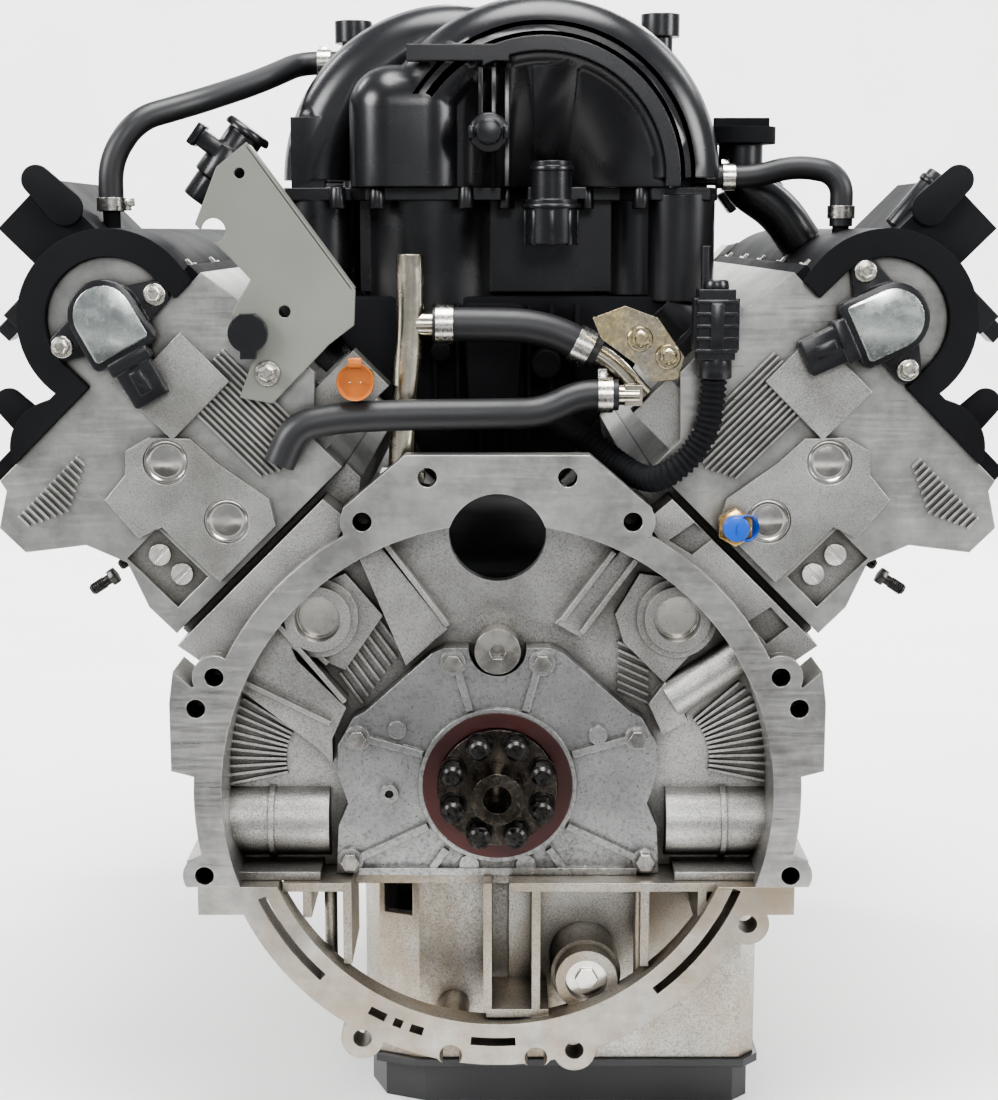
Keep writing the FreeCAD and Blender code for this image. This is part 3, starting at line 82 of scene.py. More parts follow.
# %% [markdown]
# The floor and the backdrop
#
# A product studio uses one sheet of pale paper that lies under the object and curves up behind it,
# so that no horizon shows. A row of vertices along the curve, extruded sideways, makes that sheet.

# %% Floor
FLOOR_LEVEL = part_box("sump_lower_pan")[0].z
SHEET_WIDTH = 14
SHEET_NEAR_END = -5
SHEET_BEND = 3.2
SHEET_SWEEP = 1.6
SHEET_RISE = 6


def studio_sheet():
    mesh = bmesh.new()
    start = mesh.verts.new((-SHEET_WIDTH / 2, SHEET_NEAR_END, FLOOR_LEVEL))
    bend = mesh.verts.new((-SHEET_WIDTH / 2, SHEET_BEND, FLOOR_LEVEL))
    mesh.edges.new((start, bend))
    centre = (0, SHEET_BEND, FLOOR_LEVEL + SHEET_SWEEP)
    spun = bmesh.ops.spin(mesh, geom=[bend], cent=centre, axis=(1, 0, 0), dvec=(0, 0, 0),
                          angle=math.radians(90), steps=16)
    top = [v for v in spun["geom_last"] if isinstance(v, bmesh.types.BMVert)][0]
    wall = mesh.verts.new(top.co + Vector((0, 0, SHEET_RISE)))
    mesh.edges.new((top, wall))
    side = bmesh.ops.extrude_edge_only(mesh, edges=list(mesh.edges))
    verts = [v for v in side["geom"] if isinstance(v, bmesh.types.BMVert)]
    bmesh.ops.translate(mesh, vec=(SHEET_WIDTH, 0, 0), verts=verts)
    data = bpy.data.meshes.new("studio_sheet")
    mesh.to_mesh(data)
    mesh.free()
    sheet = bpy.data.objects.new("studio_sheet", data)
    bpy.context.scene.collection.objects.link(sheet)
    for face in data.polygons:
        face.use_smooth = True
    return sheet


floor = studio_sheet()

# %% [markdown]
# The light
#
# Bare metal shows what it mirrors. A broad lamp hangs over the engine and one stands at each side,
# as in a workshop with windows. Softer ones fill in from the camera's side and from the pulley
# end, and two shine on the paper behind, which keeps the backdrop bright. A dark card lies on the
# floor in front, where the camera can't see it: the faces of the castings mirror that card, so
# they stay grey and their edges catch the lamps.

# %% Lamps
# Each lamp: its place, what it is aimed at, its width in metres and its power in watts.
LAMPS = {
    "overhead": ((0.1, -0.2, 2.3), (0, 0.15, 0.1), 1.5, 62),
    "left_window": ((-2.0, -1.1, 1.3), (-0.1, 0, 0.1), 1.2, 48),
    "right_window": ((2.1, -1.0, 1.1), (0.1, 0, 0.1), 1.1, 34),
    "camera_side": ((0.3, -3.0, 1.5), (0, 0, 0.0), 1.0, 26),
    "rear_fill": ((0.5, 2.9, 2.0), (0, 0.3, 0.2), 1.4, 34),
    "paper_left": ((-2.4, 1.6, 2.4), (-0.8, 4.6, 0.9), 1.2, 120),
    "paper_right": ((2.4, 1.6, 2.4), (0.8, 4.6, 0.9), 1.2, 120),
}
for name, (place, target, width, power) in LAMPS.items():
    lamp_data = bpy.data.lights.new(name, "AREA")
    lamp_data.shape = "DISK"
    lamp_data.size = width
    lamp_data.energy = power
    lamp = bpy.data.objects.new(name, lamp_data)
    bpy.context.scene.collection.objects.link(lamp)
    lamp.location = place
    aim = Vector(target) - Vector(place)
    lamp.rotation_euler = aim.to_track_quat("-Z", "Y").to_euler()

SKY_COLOUR = (0.90, 0.94, 1.0, 1)
SKY_STRENGTH = 0.34
EXPOSURE = 0.35
world = bpy.data.worlds.new("studio")
bpy.context.scene.world = world
world.use_nodes = True
sky = world.node_tree.nodes["Background"].inputs
sky["Color"].default_value = SKY_COLOUR
sky["Strength"].default_value = SKY_STRENGTH
bpy.context.scene.view_settings.look = "AgX - Medium High Contrast"
bpy.context.scene.view_settings.exposure = EXPOSURE

CARD_WIDTH = 2.6
CARD_LENGTH = 1.5
CARD_MIDDLE = -1.25
CARD_LIFT = 0.012


def dark_card():
    """The card in front of the engine, hidden from the camera but not from the metal."""
    mesh = bmesh.new()
    grid = bmesh.ops.create_grid(mesh, x_segments=2, y_segments=2, size=0.5)["verts"]
    bmesh.ops.scale(mesh, vec=(CARD_WIDTH, CARD_LENGTH, 1), verts=grid)
    bmesh.ops.translate(mesh, vec=(0, CARD_MIDDLE, FLOOR_LEVEL + CARD_LIFT), verts=grid)
    data = bpy.data.meshes.new("dark_card")
    mesh.to_mesh(data)
    mesh.free()
    card = bpy.data.objects.new("dark_card", data)
    bpy.context.scene.collection.objects.link(card)
    card.visible_camera = False
    card.visible_shadow = False
    return card


card = dark_card()

# %% [markdown]
# How a finish is built
#
# Every finish here has the same chain. Object coordinates feed a few noise textures: a broad one
# stains the colour, a fine one makes the grain of the mould, and both push the roughness about. A
# bump node turns the grain into relief at its real size. Numbers that are the same all over are
# set on the shader's own sockets. Two nodes look at the shape itself: ambient occlusion finds the
# corners, where the metal finishes paint their colour darker as painted shade, partly meant as oil
# and dust that collect there; and bevel rounds the sharp edges of the CAD model by about a
# millimetre of radius, as a mould or a deburring tool does.


# %% Node helpers
LOOK_AROUND = 4  # rays that bevel and ambient occlusion send out from each point


class Finish:
    """One material, with short words for the nodes that it needs."""

    def __init__(self, name, metallic, roughness):
        self.material = bpy.data.materials.new(name)
        self.material.use_nodes = True
        self.tree = self.material.node_tree
        self.shader = self.tree.nodes["Principled BSDF"]
        self.shader.inputs["Metallic"].default_value = metallic
        self.shader.inputs["Roughness"].default_value = roughness
        self.place = self.tree.nodes.new("ShaderNodeTexCoord").outputs["Object"]
        self.height = None

    def link(self, source, socket):
        self.tree.links.new(source, socket)

    def noise(self, size_mm, detail=4, rough=0.55, stretch=None):
        """A noise whose blobs are about size_mm across, along (x, y, z) shares of stretch."""
        texture = self.tree.nodes.new("ShaderNodeTexNoise")
        texture.inputs["Scale"].default_value = 1000 / size_mm
        texture.inputs["Detail"].default_value = detail
        texture.inputs["Roughness"].default_value = rough
        place = self.place
        if stretch:
            mapping = self.tree.nodes.new("ShaderNodeMapping")
            mapping.inputs["Scale"].default_value = stretch
            self.link(place, mapping.inputs["Vector"])
            place = mapping.outputs["Vector"]
        self.link(place, texture.inputs["Vector"])
        return texture.outputs["Fac"]

    def cells(self, size_mm):
        """The distance to the nearest of a cloud of points about size_mm apart."""
        texture = self.tree.nodes.new("ShaderNodeTexVoronoi")
        texture.inputs["Scale"].default_value = 1000 / size_mm
        self.link(self.place, texture.inputs["Vector"])
        return texture.outputs["Distance"]

    def ramp(self, value, stops):
        """Colours or greys along a value: a list of (position, colour)."""
        ramp = self.tree.nodes.new("ShaderNodeValToRGB")
        bar = ramp.color_ramp
        while len(bar.elements) < len(stops):
            bar.elements.new(0.5)
        for element, (position, colour) in zip(bar.elements, stops):
            element.position = position
            grey = colour if isinstance(colour, tuple) else (colour, colour, colour)
            element.color = (*grey, 1)
        self.link(value, ramp.inputs["Fac"])
        return ramp.outputs["Color"]

    def mix(self, share, first, second, way="MIX"):
        node = self.tree.nodes.new("ShaderNodeMix")
        node.data_type = "RGBA"
        node.blend_type = way
        node.clamp_factor = True
        sockets = (node.inputs[0], node.inputs[6], node.inputs[7])
        for value, socket in zip((share, first, second), sockets):
            if isinstance(value, tuple):
                socket.default_value = (*value, 1)
            elif isinstance(value, (int, float)):
                socket.default_value = value
            else:
                self.link(value, socket)
        return node.outputs[2]

    def math(self, operation, first, second=0.0):
        node = self.tree.nodes.new("ShaderNodeMath")
        node.operation = operation
        for value, socket in zip((first, second), node.inputs):
            if isinstance(value, (int, float)):
                socket.default_value = value
            else:
                self.link(value, socket)
        return node.outputs[0]

    def bump(self, value, depth_mm, strength):
        """Relief of a real depth, on top of the relief that is already there."""
        node = self.tree.nodes.new("ShaderNodeBump")
        node.inputs["Strength"].default_value = strength
        node.inputs["Distance"].default_value = depth_mm * MM
        self.link(value, node.inputs["Height"])
        if self.height is not None:
            self.link(self.height, node.inputs["Normal"])
        self.height = node.outputs["Normal"]
        self.link(self.height, self.shader.inputs["Normal"])

    def edges(self, radius_mm):
        """Round the look of every edge."""
        node = self.tree.nodes.new("ShaderNodeBevel")
        node.samples = LOOK_AROUND
        node.inputs["Radius"].default_value = radius_mm * MM
        self.height = node.outputs["Normal"]
        self.link(self.height, self.shader.inputs["Normal"])

    def corners(self, reach_mm):
        """1 on open faces, falling to 0 deep in a corner."""
        node = self.tree.nodes.new("ShaderNodeAmbientOcclusion")
        node.samples = LOOK_AROUND
        node.inputs["Distance"].default_value = reach_mm * MM
        return node.outputs["AO"]

    def colour(self, value):
        if isinstance(value, tuple):
            self.shader.inputs["Base Color"].default_value = (*value, 1)
        else:
            self.link(value, self.shader.inputs["Base Color"])

    def rough(self, value):
        self.link(value, self.shader.inputs["Roughness"])

    def axis(self, letter):
        split = self.tree.nodes.new("ShaderNodeSeparateXYZ")
        self.link(self.place, split.inputs[0])
        return split.outputs[letter]


# %% [markdown]
# Sand-cast aluminium
#
# The block, the heads and the sump are cast in sand moulds. The skin keeps the print of the sand:
# grains of about a millimetre that sparkle, over soft grey clouds where the metal cooled or was
# handled. Where a face is machined after casting, the grain is gone, so the same material looks up
# its own position and goes smooth on those planes.


# %% Cast finishes
# Painted shade: deep in corners the cast colour falls to this dark brown-grey, partly meant as
# grime.
CORNER_SHADE_AND_GRIME = (0.075, 0.068, 0.058)
# The sizes of what shows on a casting, in millimetres.
CAST_EDGE = 1.1
CLOUD_SIZE = 80
CUTTER_MARK = 6
SMEAR_SIZE = 34
STAIN_SIZE = 120
DENT_SIZE = 14
CORNER_REACH = 16
STAIN_SHARE = 0.75


def cast(name, light, dark, grain_mm=1.1, depth=0.35, faces=(), stain=None, roughness=0.40,
         milled=0.62):
    """Sand-cast metal, machined on the planes in faces: (axis, level, half thickness), in mm.

    milled is the brightness of a machined face next to the cast skin.
    """
    skin = Finish(name, 0.95, roughness)
    skin.edges(CAST_EDGE)
    clouds = skin.noise(CLOUD_SIZE, 5, 0.6)
    grain = skin.noise(grain_mm, 3, 0.7)
    pores = skin.cells(grain_mm * 1.7)
    tone = skin.ramp(clouds, [(0.36, dark), (0.64, light)])
    speckle = skin.ramp(grain, [(0.32, 0.36), (0.50, 0.80), (0.68, 1.0)])
    sand = skin.mix(0.85, tone, speckle, "MULTIPLY")
    sand_rough = skin.ramp(grain, [(0.3, roughness + 0.14), (0.7, roughness - 0.12)])
    rise = skin.math("ADD", grain, skin.math("MULTIPLY", pores, 0.5))
    machined = None
    for letter, level, half in faces:
        offset = skin.math("SUBTRACT", skin.axis(letter), level * MM)
        near = skin.math("LESS_THAN", skin.math("ABSOLUTE", offset), half * MM)
        machined = near if machined is None else skin.math("MAXIMUM", machined, near)
    if machined is not None:
        milling = skin.noise(CUTTER_MARK, 4, 0.6, stretch=(0.16, 1, 2.2))
        smears = skin.noise(SMEAR_SIZE, 6, 0.68)
        face = skin.ramp(smears, [(level, tuple(c * milled * share for c in light))
                                  for level, share in ((0.34, 0.7), (0.52, 1), (0.68, 1.25))])
        sand = skin.mix(machined, sand, face)
        face_rough = skin.ramp(milling, [(0.3, 0.26), (0.7, 0.46)])
        sand_rough = skin.mix(machined, sand_rough, face_rough)
        rise = skin.math("MULTIPLY", rise, skin.math("SUBTRACT", 1.03, machined))
    if stain:
        runs = skin.noise(STAIN_SIZE, 5, 0.7, stretch=(1, 1, 0.35))
        drift = skin.ramp(runs, [(0.42, 0.0), (0.62, 1.0)])
        sand = skin.mix(skin.math("MULTIPLY", drift, STAIN_SHARE), sand, stain)
    # Painted shade: the colour darkens to the corner tone where ambient occlusion finds a corner.
    shade = skin.ramp(skin.corners(CORNER_REACH), [(0.25, 0.0), (0.80, 1.0)])
    skin.colour(skin.mix(shade, CORNER_SHADE_AND_GRIME, sand))
    skin.rough(sand_rough)
    skin.bump(rise, depth, 0.55)
    skin.bump(skin.noise(DENT_SIZE, 2, 0.5), 0.5, 0.25)
    return skin.material


RING_FACE = ("Y", -20, 0.3)
SUMP_JOINT = ("Z", -65, 0.3)
HEAD_PAD = ("Y", -3, 0.4)
HEAD_END = ("Y", 0, 0.3)
FINISHES = {
    "cast_aluminium": cast("sand_cast_aluminium", (0.64, 0.628, 0.605), (0.37, 0.36, 0.34),
                           faces=[RING_FACE, SUMP_JOINT]),
    "head_aluminium": cast("head_casting", (0.57, 0.565, 0.54), (0.32, 0.312, 0.288), 0.9, 0.22,
                           faces=[HEAD_PAD, HEAD_END], milled=0.74),
    "machined_aluminium": cast("bare_aluminium", (0.52, 0.52, 0.51), (0.36, 0.36, 0.355),
                               2.2, 0.08),
}
retainer_finish = cast("die_cast_cover", (0.51, 0.51, 0.50), (0.31, 0.31, 0.305), 3.4, 0.06,
                       roughness=0.36)
tub_finish = cast("stained_sump", (0.60, 0.585, 0.55), (0.36, 0.345, 0.31), 1.3, 0.35,
                  faces=[RING_FACE], stain=(0.30, 0.235, 0.16))

# %% [markdown]
# Steel parts
#
# Steel that has been handled breaks its highlight into small marks; bolts are dipped in dark
# phosphate and go brown-black; brackets and pipes are zinc plated and pick up a yellow tint that
# drifts over the surface.


# %% Steel finishes
STEEL_EDGE = 0.5
STEEL_CORNER = 6


def steel(name, light, dark, roughness, cloud_mm=25, mark_mm=3, depth=0.05):
    """Bare or plated metal whose tone drifts over clouds and whose sheen breaks up in marks."""
    skin = Finish(name, 1.0, roughness)
    skin.edges(STEEL_EDGE)
    clouds = skin.noise(cloud_mm, 4, 0.6)
    metal = skin.ramp(clouds, [(0.32, dark), (0.66, light)])
    # Painted shade: the colour darkens to a quarter of the dark tone deep in corners.
    shade = skin.ramp(skin.corners(STEEL_CORNER), [(0.2, 0.0), (0.75, 1.0)])
    skin.colour(skin.mix(shade, tuple(c * 0.25 for c in dark), metal))
    marks = skin.noise(mark_mm, 4, 0.7)
    skin.rough(skin.ramp(marks, [(0.3, max(roughness - 0.1, 0.05)), (0.7, roughness + 0.12)]))
    skin.bump(marks, depth, 0.5)
    return skin.material


pipe_finish = steel("plated_pipe", (0.64, 0.60, 0.50), (0.46, 0.42, 0.34), 0.20, 90, 18, 0.01)
FINISHES.update({
    "crank_steel": steel("oiled_crank_steel", (0.17, 0.15, 0.125), (0.05, 0.042, 0.034), 0.22, 26),
    "bright_steel": steel("pressed_steel", (0.72, 0.70, 0.66), (0.50, 0.475, 0.43), 0.17, 60, 18),
    "dark_bolt_steel": steel("phosphate_steel", (0.075, 0.072, 0.07), (0.022, 0.021, 0.02),
                             0.30, 6),
    "zinc_yellow_steel": steel("zinc_plate", (0.66, 0.54, 0.29), (0.50, 0.46, 0.40), 0.2, 30),
    "gasket_steel": steel("gasket_steel", (0.22, 0.22, 0.22), (0.10, 0.10, 0.10), 0.4),
    "piston_aluminium": steel("piston_metal", (0.75, 0.75, 0.74), (0.60, 0.60, 0.58), 0.3),
})

# %% [markdown]
# Moulded and painted parts
#
# The intake and the cam covers are glass-filled nylon. Fresh mouldings are deep black with a satin
# sheen and a faint orange peel, and the covers are duller than the intake. Paint on the brackets
# and rubber on the hoses differ in how the highlight spreads.


# %% Moulded finishes
MOULD_EDGE = 1.4
TONE_SIZE = 160
DUST_SIZE = 60


def moulding(name, light, dark, roughness, peel_mm=1.4, depth=0.06, gloss=0.5):
    """Nylon, rubber or paint: two close tones, a little dust and a fine peel."""
    skin = Finish(name, 0.0, roughness)
    skin.edges(MOULD_EDGE)
    clouds = skin.noise(TONE_SIZE, 3, 0.5)
    skin.colour(skin.ramp(clouds, [(0.35, dark), (0.68, light)]))
    dust = skin.noise(DUST_SIZE, 4, 0.6)
    skin.rough(skin.ramp(dust, [(0.3, max(roughness - 0.04, 0.05)), (0.72, roughness + 0.07)]))
    skin.bump(skin.noise(peel_mm, 2, 0.5), depth, 0.5)
    skin.shader.inputs["Specular IOR Level"].default_value = gloss
    return skin.material


FINISHES.update({
    "black_plastic": moulding("satin_nylon", (0.010, 0.010, 0.0115), (0.006, 0.006, 0.007), 0.27),
    "cover_black": moulding("matt_nylon", (0.014, 0.0145, 0.016), (0.008, 0.008, 0.009), 0.62,
                            gloss=0.08),
    "hose_rubber": moulding("hose_rubber", (0.017, 0.017, 0.018), (0.010, 0.010, 0.011), 0.44,
                            0.8),
    "seal_rubber": moulding("brown_seal_rubber", (0.060, 0.014, 0.012), (0.022, 0.007, 0.006),
                            0.32),
    "grey_painted_steel": moulding("grey_green_paint", (0.20, 0.205, 0.18), (0.15, 0.155, 0.135),
                                   0.34, 1.8, 0.04),
    "black_painted_steel": moulding("black_paint", (0.03, 0.03, 0.032), (0.015, 0.015, 0.016),
                                    0.3),
    "orange_plastic": moulding("orange_moulding", (0.50, 0.16, 0.03), (0.32, 0.09, 0.02), 0.35),
    "blue_plastic": moulding("blue_moulding", (0.012, 0.10, 0.52), (0.01, 0.06, 0.36), 0.32),
    "filter_paint": moulding("filter_paint", (0.03, 0.03, 0.034), (0.018, 0.018, 0.02), 0.2),
})

PULP_SIZE = 300
paper = Finish("studio_paper", 0, 0.85)
pulp = paper.noise(PULP_SIZE, 3, 0.5)
paper.colour(paper.ramp(pulp, [(0.3, (0.90, 0.90, 0.89)), (0.7, (0.94, 0.94, 0.93))]))
floor.data.materials.append(paper.material)

card_paint = Finish("card_paint", 0, 0.9)
card_paint.colour((0.05, 0.05, 0.052))
card.data.materials.append(card_paint.material)

# %% Finish every CAD node
wanted = {part["node"]: part["material_slot"] for part in frame["record"]["subparts"]}
OWN_FINISH = {"rear_seal_retainer": retainer_finish, "sump_upper": tub_finish,
              "coolant_pipe": pipe_finish, "heater_pipe": pipe_finish}
for name, node in nodes.items():
    node.data.materials.clear()
    node.data.materials.append(OWN_FINISH.get(name, FINISHES[wanted[name]]))
print("finished", len(nodes), "nodes")

# %% [markdown]
# Drawing small trim
#
# Bolts, clamps and connectors come many times, so a few helpers draw them. Each one adds a closed
# shape to a bmesh in millimetres. A matrix sets it in place: either straight in the engine's
# frame, or in the frame of a bank, whose axes run outboard, along the engine and up the bores.

# %% Helpers for small pieces
ON_FACE = Matrix.Rotation(math.radians(90), 4, "X")
TOWARDS_FLYWHEEL = (90, "X")
FLANGE = 1.8    # thickness of a bolt's flange
BAND = 1.2      # thickness of a clamp's band
BAND_GAP = 28   # the part of the turn that the band leaves open, in degrees


def at(x, y, z, *turns):
    """A place in millimetres, with turns given as (degrees, axis) from the outside in."""
    place = Matrix.Translation((x, y, z))
    for angle, axis in turns:
        place = place @ Matrix.Rotation(math.radians(angle), 4, axis)
    return place


def bank(side):
    """From a bank's drawing to the engine: -1 is the left bank, 1 the right one."""
    half = math.sqrt(0.5)
    return Matrix(((side * half, 0, side * half, 0), (0, 1, 0, 0), (-half, 0, half, 0),
                   (0, 0, 0, 1)))


def add(target, part, place=None):
    """Put one drawing into another."""
    if place is not None:
        bmesh.ops.transform(part, matrix=place, verts=part.verts)
    bmesh.ops.recalc_face_normals(part, faces=part.faces)
    data = bpy.data.meshes.new("part")
    part.to_mesh(data)
    part.free()
    target.from_mesh(data)
    bpy.data.meshes.remove(data)


def soften(part, width, least=50):
    """Bevel the edges that are sharper than an angle."""
    sharp = [edge for edge in part.edges
             if len(edge.link_faces) == 2 and edge.calc_face_angle(0) > math.radians(least)]
    bmesh.ops.bevel(part, geom=sharp, offset=width, offset_type="OFFSET", segments=2, profile=0.5,
                    affect="EDGES", clamp_overlap=True, material=-1)


def piece(name, mesh, slot, finish=None, body="engine", crease=38):
    """Turn a drawing in millimetres into a finished piece that rides on a body.

    Faces that meet at less than crease degrees shade into each other.
    """
    bmesh.ops.scale(mesh, vec=(MM, MM, MM), verts=mesh.verts)
    bmesh.ops.recalc_face_normals(mesh, faces=mesh.faces)
    data = bpy.data.meshes.new(name)
    mesh.to_mesh(data)
    mesh.free()
    for face in data.polygons:
        face.use_smooth = True
    data.set_sharp_from_angle(angle=math.radians(crease))
    data.materials.append(finish or FINISHES[slot])
    made = bpy.data.objects.new(name, data)
    bpy.context.scene.collection.objects.link(made)
    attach(made, body)
    print(name, len(data.polygons), "faces")
    return made


def plate(target, discs, low, high, edge=0.8, place=None):
    """A plate between two levels along the engine, wrapped round discs (x, z, radius)."""
    part = bmesh.new()
    for x, z, radius in discs:
        for level in (low, high):
            bmesh.ops.create_circle(part, segments=28, radius=radius,
                                    matrix=Matrix.Translation((x, level, z)) @ ON_FACE)
    hull = bmesh.ops.convex_hull(part, input=part.verts)
    spare = [item for item in hull["geom_interior"] + hull["geom_unused"]
             if isinstance(item, bmesh.types.BMVert)]
    bmesh.ops.delete(part, geom=list(dict.fromkeys(spare)), context="VERTS")
    bmesh.ops.dissolve_limit(part, angle_limit=math.radians(1), verts=part.verts,
                             edges=part.edges)
    soften(part, edge, 60)
    add(target, part, place)


def block(target, size, place, edge=1.0):
    """A moulded block with rounded edges, centred on its place."""
    part = bmesh.new()
    bmesh.ops.create_cube(part, size=1)
    bmesh.ops.scale(part, vec=size, verts=part.verts)
    soften(part, edge)
    add(target, part, place)


def rod(target, radius, length, place, last=None, edge=0.6, segments=32):
    """A round bar along +Z from its place, tapering to a last radius."""
    part = bmesh.new()
    bmesh.ops.create_cone(part, cap_ends=True, segments=segments, radius1=radius,
                          radius2=radius if last is None else last, depth=length,
                          matrix=Matrix.Translation((0, 0, length / 2)))
    soften(part, edge, 60)
    add(target, part, place)


def top_face(part):
    """The face that lies highest in its own drawing."""
    return max(part.faces, key=lambda face: face.calc_center_median().z)


def hex_bolt(target, place, across, height, collar):
    """A flanged hexagon head with a dished top, standing along +Z."""
    rod(target, collar, FLANGE, place, collar * 0.88, 0.4)
    part = bmesh.new()
    corner = across / math.sqrt(3)
    bmesh.ops.create_cone(part, cap_ends=True, segments=6, radius1=corner, radius2=corner,
                          depth=height, matrix=Matrix.Translation((0, 0, 1.6 + height / 2)))
    crown = top_face(part)
    bmesh.ops.inset_region(part, faces=[crown], thickness=across * 0.16, depth=0.5)
    bmesh.ops.inset_region(part, faces=[crown], thickness=across * 0.06, depth=-0.9)
    add(target, part, place)


def spin_section(part, section, degrees, steps, merge=False):
    """Turn a closed section round +Z into a ring or a part of one."""
    verts = [part.verts.new(corner) for corner in section]
    face = part.faces.new(verts)
    bmesh.ops.spin(part, geom=[face] + list(face.edges) + verts, cent=(0, 0, 0), axis=(0, 0, 1),
                   dvec=(0, 0, 0), angle=math.radians(degrees), steps=steps, use_merge=merge)


def spring_clamp(target, place, radius, width):
    """A sprung band round a hose, open at the top between two tabs that pliers squeeze."""
    part = bmesh.new()
    low, high = -width / 2, width / 2
    outside = radius + BAND
    spin_section(part, [(radius, 0, low), (outside, 0, low), (outside, 0, high),
                        (radius, 0, high)], 360 - BAND_GAP, 40)
    start = Matrix.Rotation(math.radians(90 + BAND_GAP / 2), 4, "Z")
    add(target, part, place @ start)
    for way in (-1, 1):
        lean = Matrix.Rotation(math.radians(-BAND_GAP / 2 * way), 4, "Z")
        tab = lean @ Matrix.Translation((0, radius + 3.4, way * width * 0.16))
        block(target, (BAND, 7.2, width * 0.62), place @ tab, 0.4)


# %% [markdown]
# The camshaft sensors
#
# Behind each inlet camshaft sits a sensor in a black nylon frame with two ears, held by two
# flanged bolts. Its back is closed by a stamped steel plate with one round end. Each frame is a
# hull round a few discs, which gives the smooth outline of a moulding, and the plate is a smaller
# hull in front of it. Both sensors are the same part, so both lean the same way round. The plates
# are left blank.

# %% Camshaft sensors
SENSOR_AXIS = Vector((-46, 0, 413))
SENSOR_TURN = {-1: -29, 1: 65}
EAR_REACH = 36
EAR_FACE = -6.2
# Each hull of a sensor: its discs, its two levels and its edge.
SENSOR_FRAME = [
    ([(-EAR_REACH, 0, 9.5), (EAR_REACH, 0, 9.5), (0, 0, 20)], EAR_FACE, -0.2, 1.0),
    ([(0, 4, 24), (-19, -22, 5), (19, -22, 5)], -13.2, -5, 1.4),
    ([(-10, -30, 3), (10, -30, 3), (-10, -58, 2.5), (10, -58, 2.5)], -15.2, -3.4, 1.0),
    ([(-13, -28, 2), (13, -28, 2), (-13, -33, 2), (13, -33, 2)], -16.0, -2.6, 0.6),
]
SENSOR_PLATE = [(0, 4, 20), (-17, -19, 3), (17, -19, 3)]
frames, plates, sensor_bolts = bmesh.new(), bmesh.new(), bmesh.new()
for side in (-1, 1):
    centre = bank(side) @ SENSOR_AXIS
    spot = at(centre.x, 0, centre.z, (SENSOR_TURN[side], "Y"))
    for discs, low, high, edge in SENSOR_FRAME:
        plate(frames, discs, low, high, edge, spot)
    plate(plates, SENSOR_PLATE, -14.6, -12.8, 0.6, spot)
    block(frames, (9, 3, 16), spot @ at(0, -16.4, -46), 0.8)
    for way in (-EAR_REACH, EAR_REACH):
        hex_bolt(sensor_bolts, spot @ at(way, EAR_FACE, 0, TOWARDS_FLYWHEEL), 10, 5.2, 8)
blank_plate = steel("stamped_plate", (0.50, 0.53, 0.50), (0.40, 0.43, 0.41), 0.24, 40, 12, 0.02)
bolt_plating = steel("zinc_bolts", (0.62, 0.60, 0.54), (0.40, 0.385, 0.34), 0.26, 12)
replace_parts(piece("phase_sensor_frames", frames, "black_plastic"), "phase_sensors")
piece("phase_sensor_plates", plates, "bright_steel", blank_plate)
piece("phase_sensor_bolts", sensor_bolts, "bright_steel", bolt_plating)

# %% [markdown]
# The moulded intake
#
# The eight arches are round pipes on the real manifold. The CAD model draws their section with
# sixteen flats, to stay light. A welded copy with smooth shading between faces that meet at less
# than 32 degrees looks round, and keeps every real corner sharp.


# %% Smooth intake
def moulded_copy(node, name, slot, crease):
    """A welded copy of a CAD node, shaded smoothly up to an angle, in place of the node."""
    mesh = bmesh.new()
    mesh.from_mesh(nodes[node].data)
    bmesh.ops.remove_doubles(mesh, verts=mesh.verts, dist=2e-6)
    bmesh.ops.dissolve_limit(mesh, angle_limit=math.radians(0.3), verts=mesh.verts,
                             edges=mesh.edges)
    bmesh.ops.scale(mesh, vec=(1 / MM, 1 / MM, 1 / MM), verts=mesh.verts)
    made = piece(name, mesh, slot, crease=crease)
    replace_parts(made, node)
    return made


moulded_copy("intake_upper", "intake_top_moulding", "black_plastic", 32)

# %% [markdown]
# Trim on the intake
#
# Small screw towers stand along the manifold's seam, a round service plug closes the rear dome
# between two clips, and a flanged, ribbed ring holds the purge canister. Round beads follow the
# right arch. They break up the large black surfaces.

# %% Intake trim
trim = bmesh.new()
SEAM = 405
SEAM_TOWERS = ((-134, 98), (-112, 70), (-84, 62), (-22, 62), (6, 70), (62, 74), (100, 66),
               (132, 84))
FLANK_TOWERS = 7
FLANK_START, FLANK_PITCH, FLANK_REACH = 130, 54, 152
for x, y in SEAM_TOWERS:
    rod(trim, 6, 15, at(x, y + 4, SEAM - 6), 5.2, 0.8)
for number in range(FLANK_TOWERS):
    for x in (-FLANK_REACH, FLANK_REACH):
        rod(trim, 5.5, 14, at(x, FLANK_START + number * FLANK_PITCH, SEAM - 5), 5, 0.8)

SERVICE_PLUG = (-6, 450)
rod(trim, 14, 5, at(SERVICE_PLUG[0], 47.4, SERVICE_PLUG[1], TOWARDS_FLYWHEEL), 13, 1.0)
rod(trim, 9, 9, at(SERVICE_PLUG[0], 46.4, SERVICE_PLUG[1], TOWARDS_FLYWHEEL), 8.4, 1.2)
for way in (-1, 1):
    block(trim, (4, 8, 9), at(SERVICE_PLUG[0] + way * 12, 45, SERVICE_PLUG[1]), 1.0)

CANISTER = (37, 48)
GRIP_RIBS = 8
rod(trim, 20, 3, at(*CANISTER, 399), 20, 0.8)
rod(trim, 15.5, 4, at(*CANISTER, 424), 15, 1.2)
for number in range(GRIP_RIBS):
    rib = at(*CANISTER, 386, (number * 360 / GRIP_RIBS, "Z")) @ at(17.4, 0, 0)
    block(trim, (3, 3.4, 24), rib, 0.6)


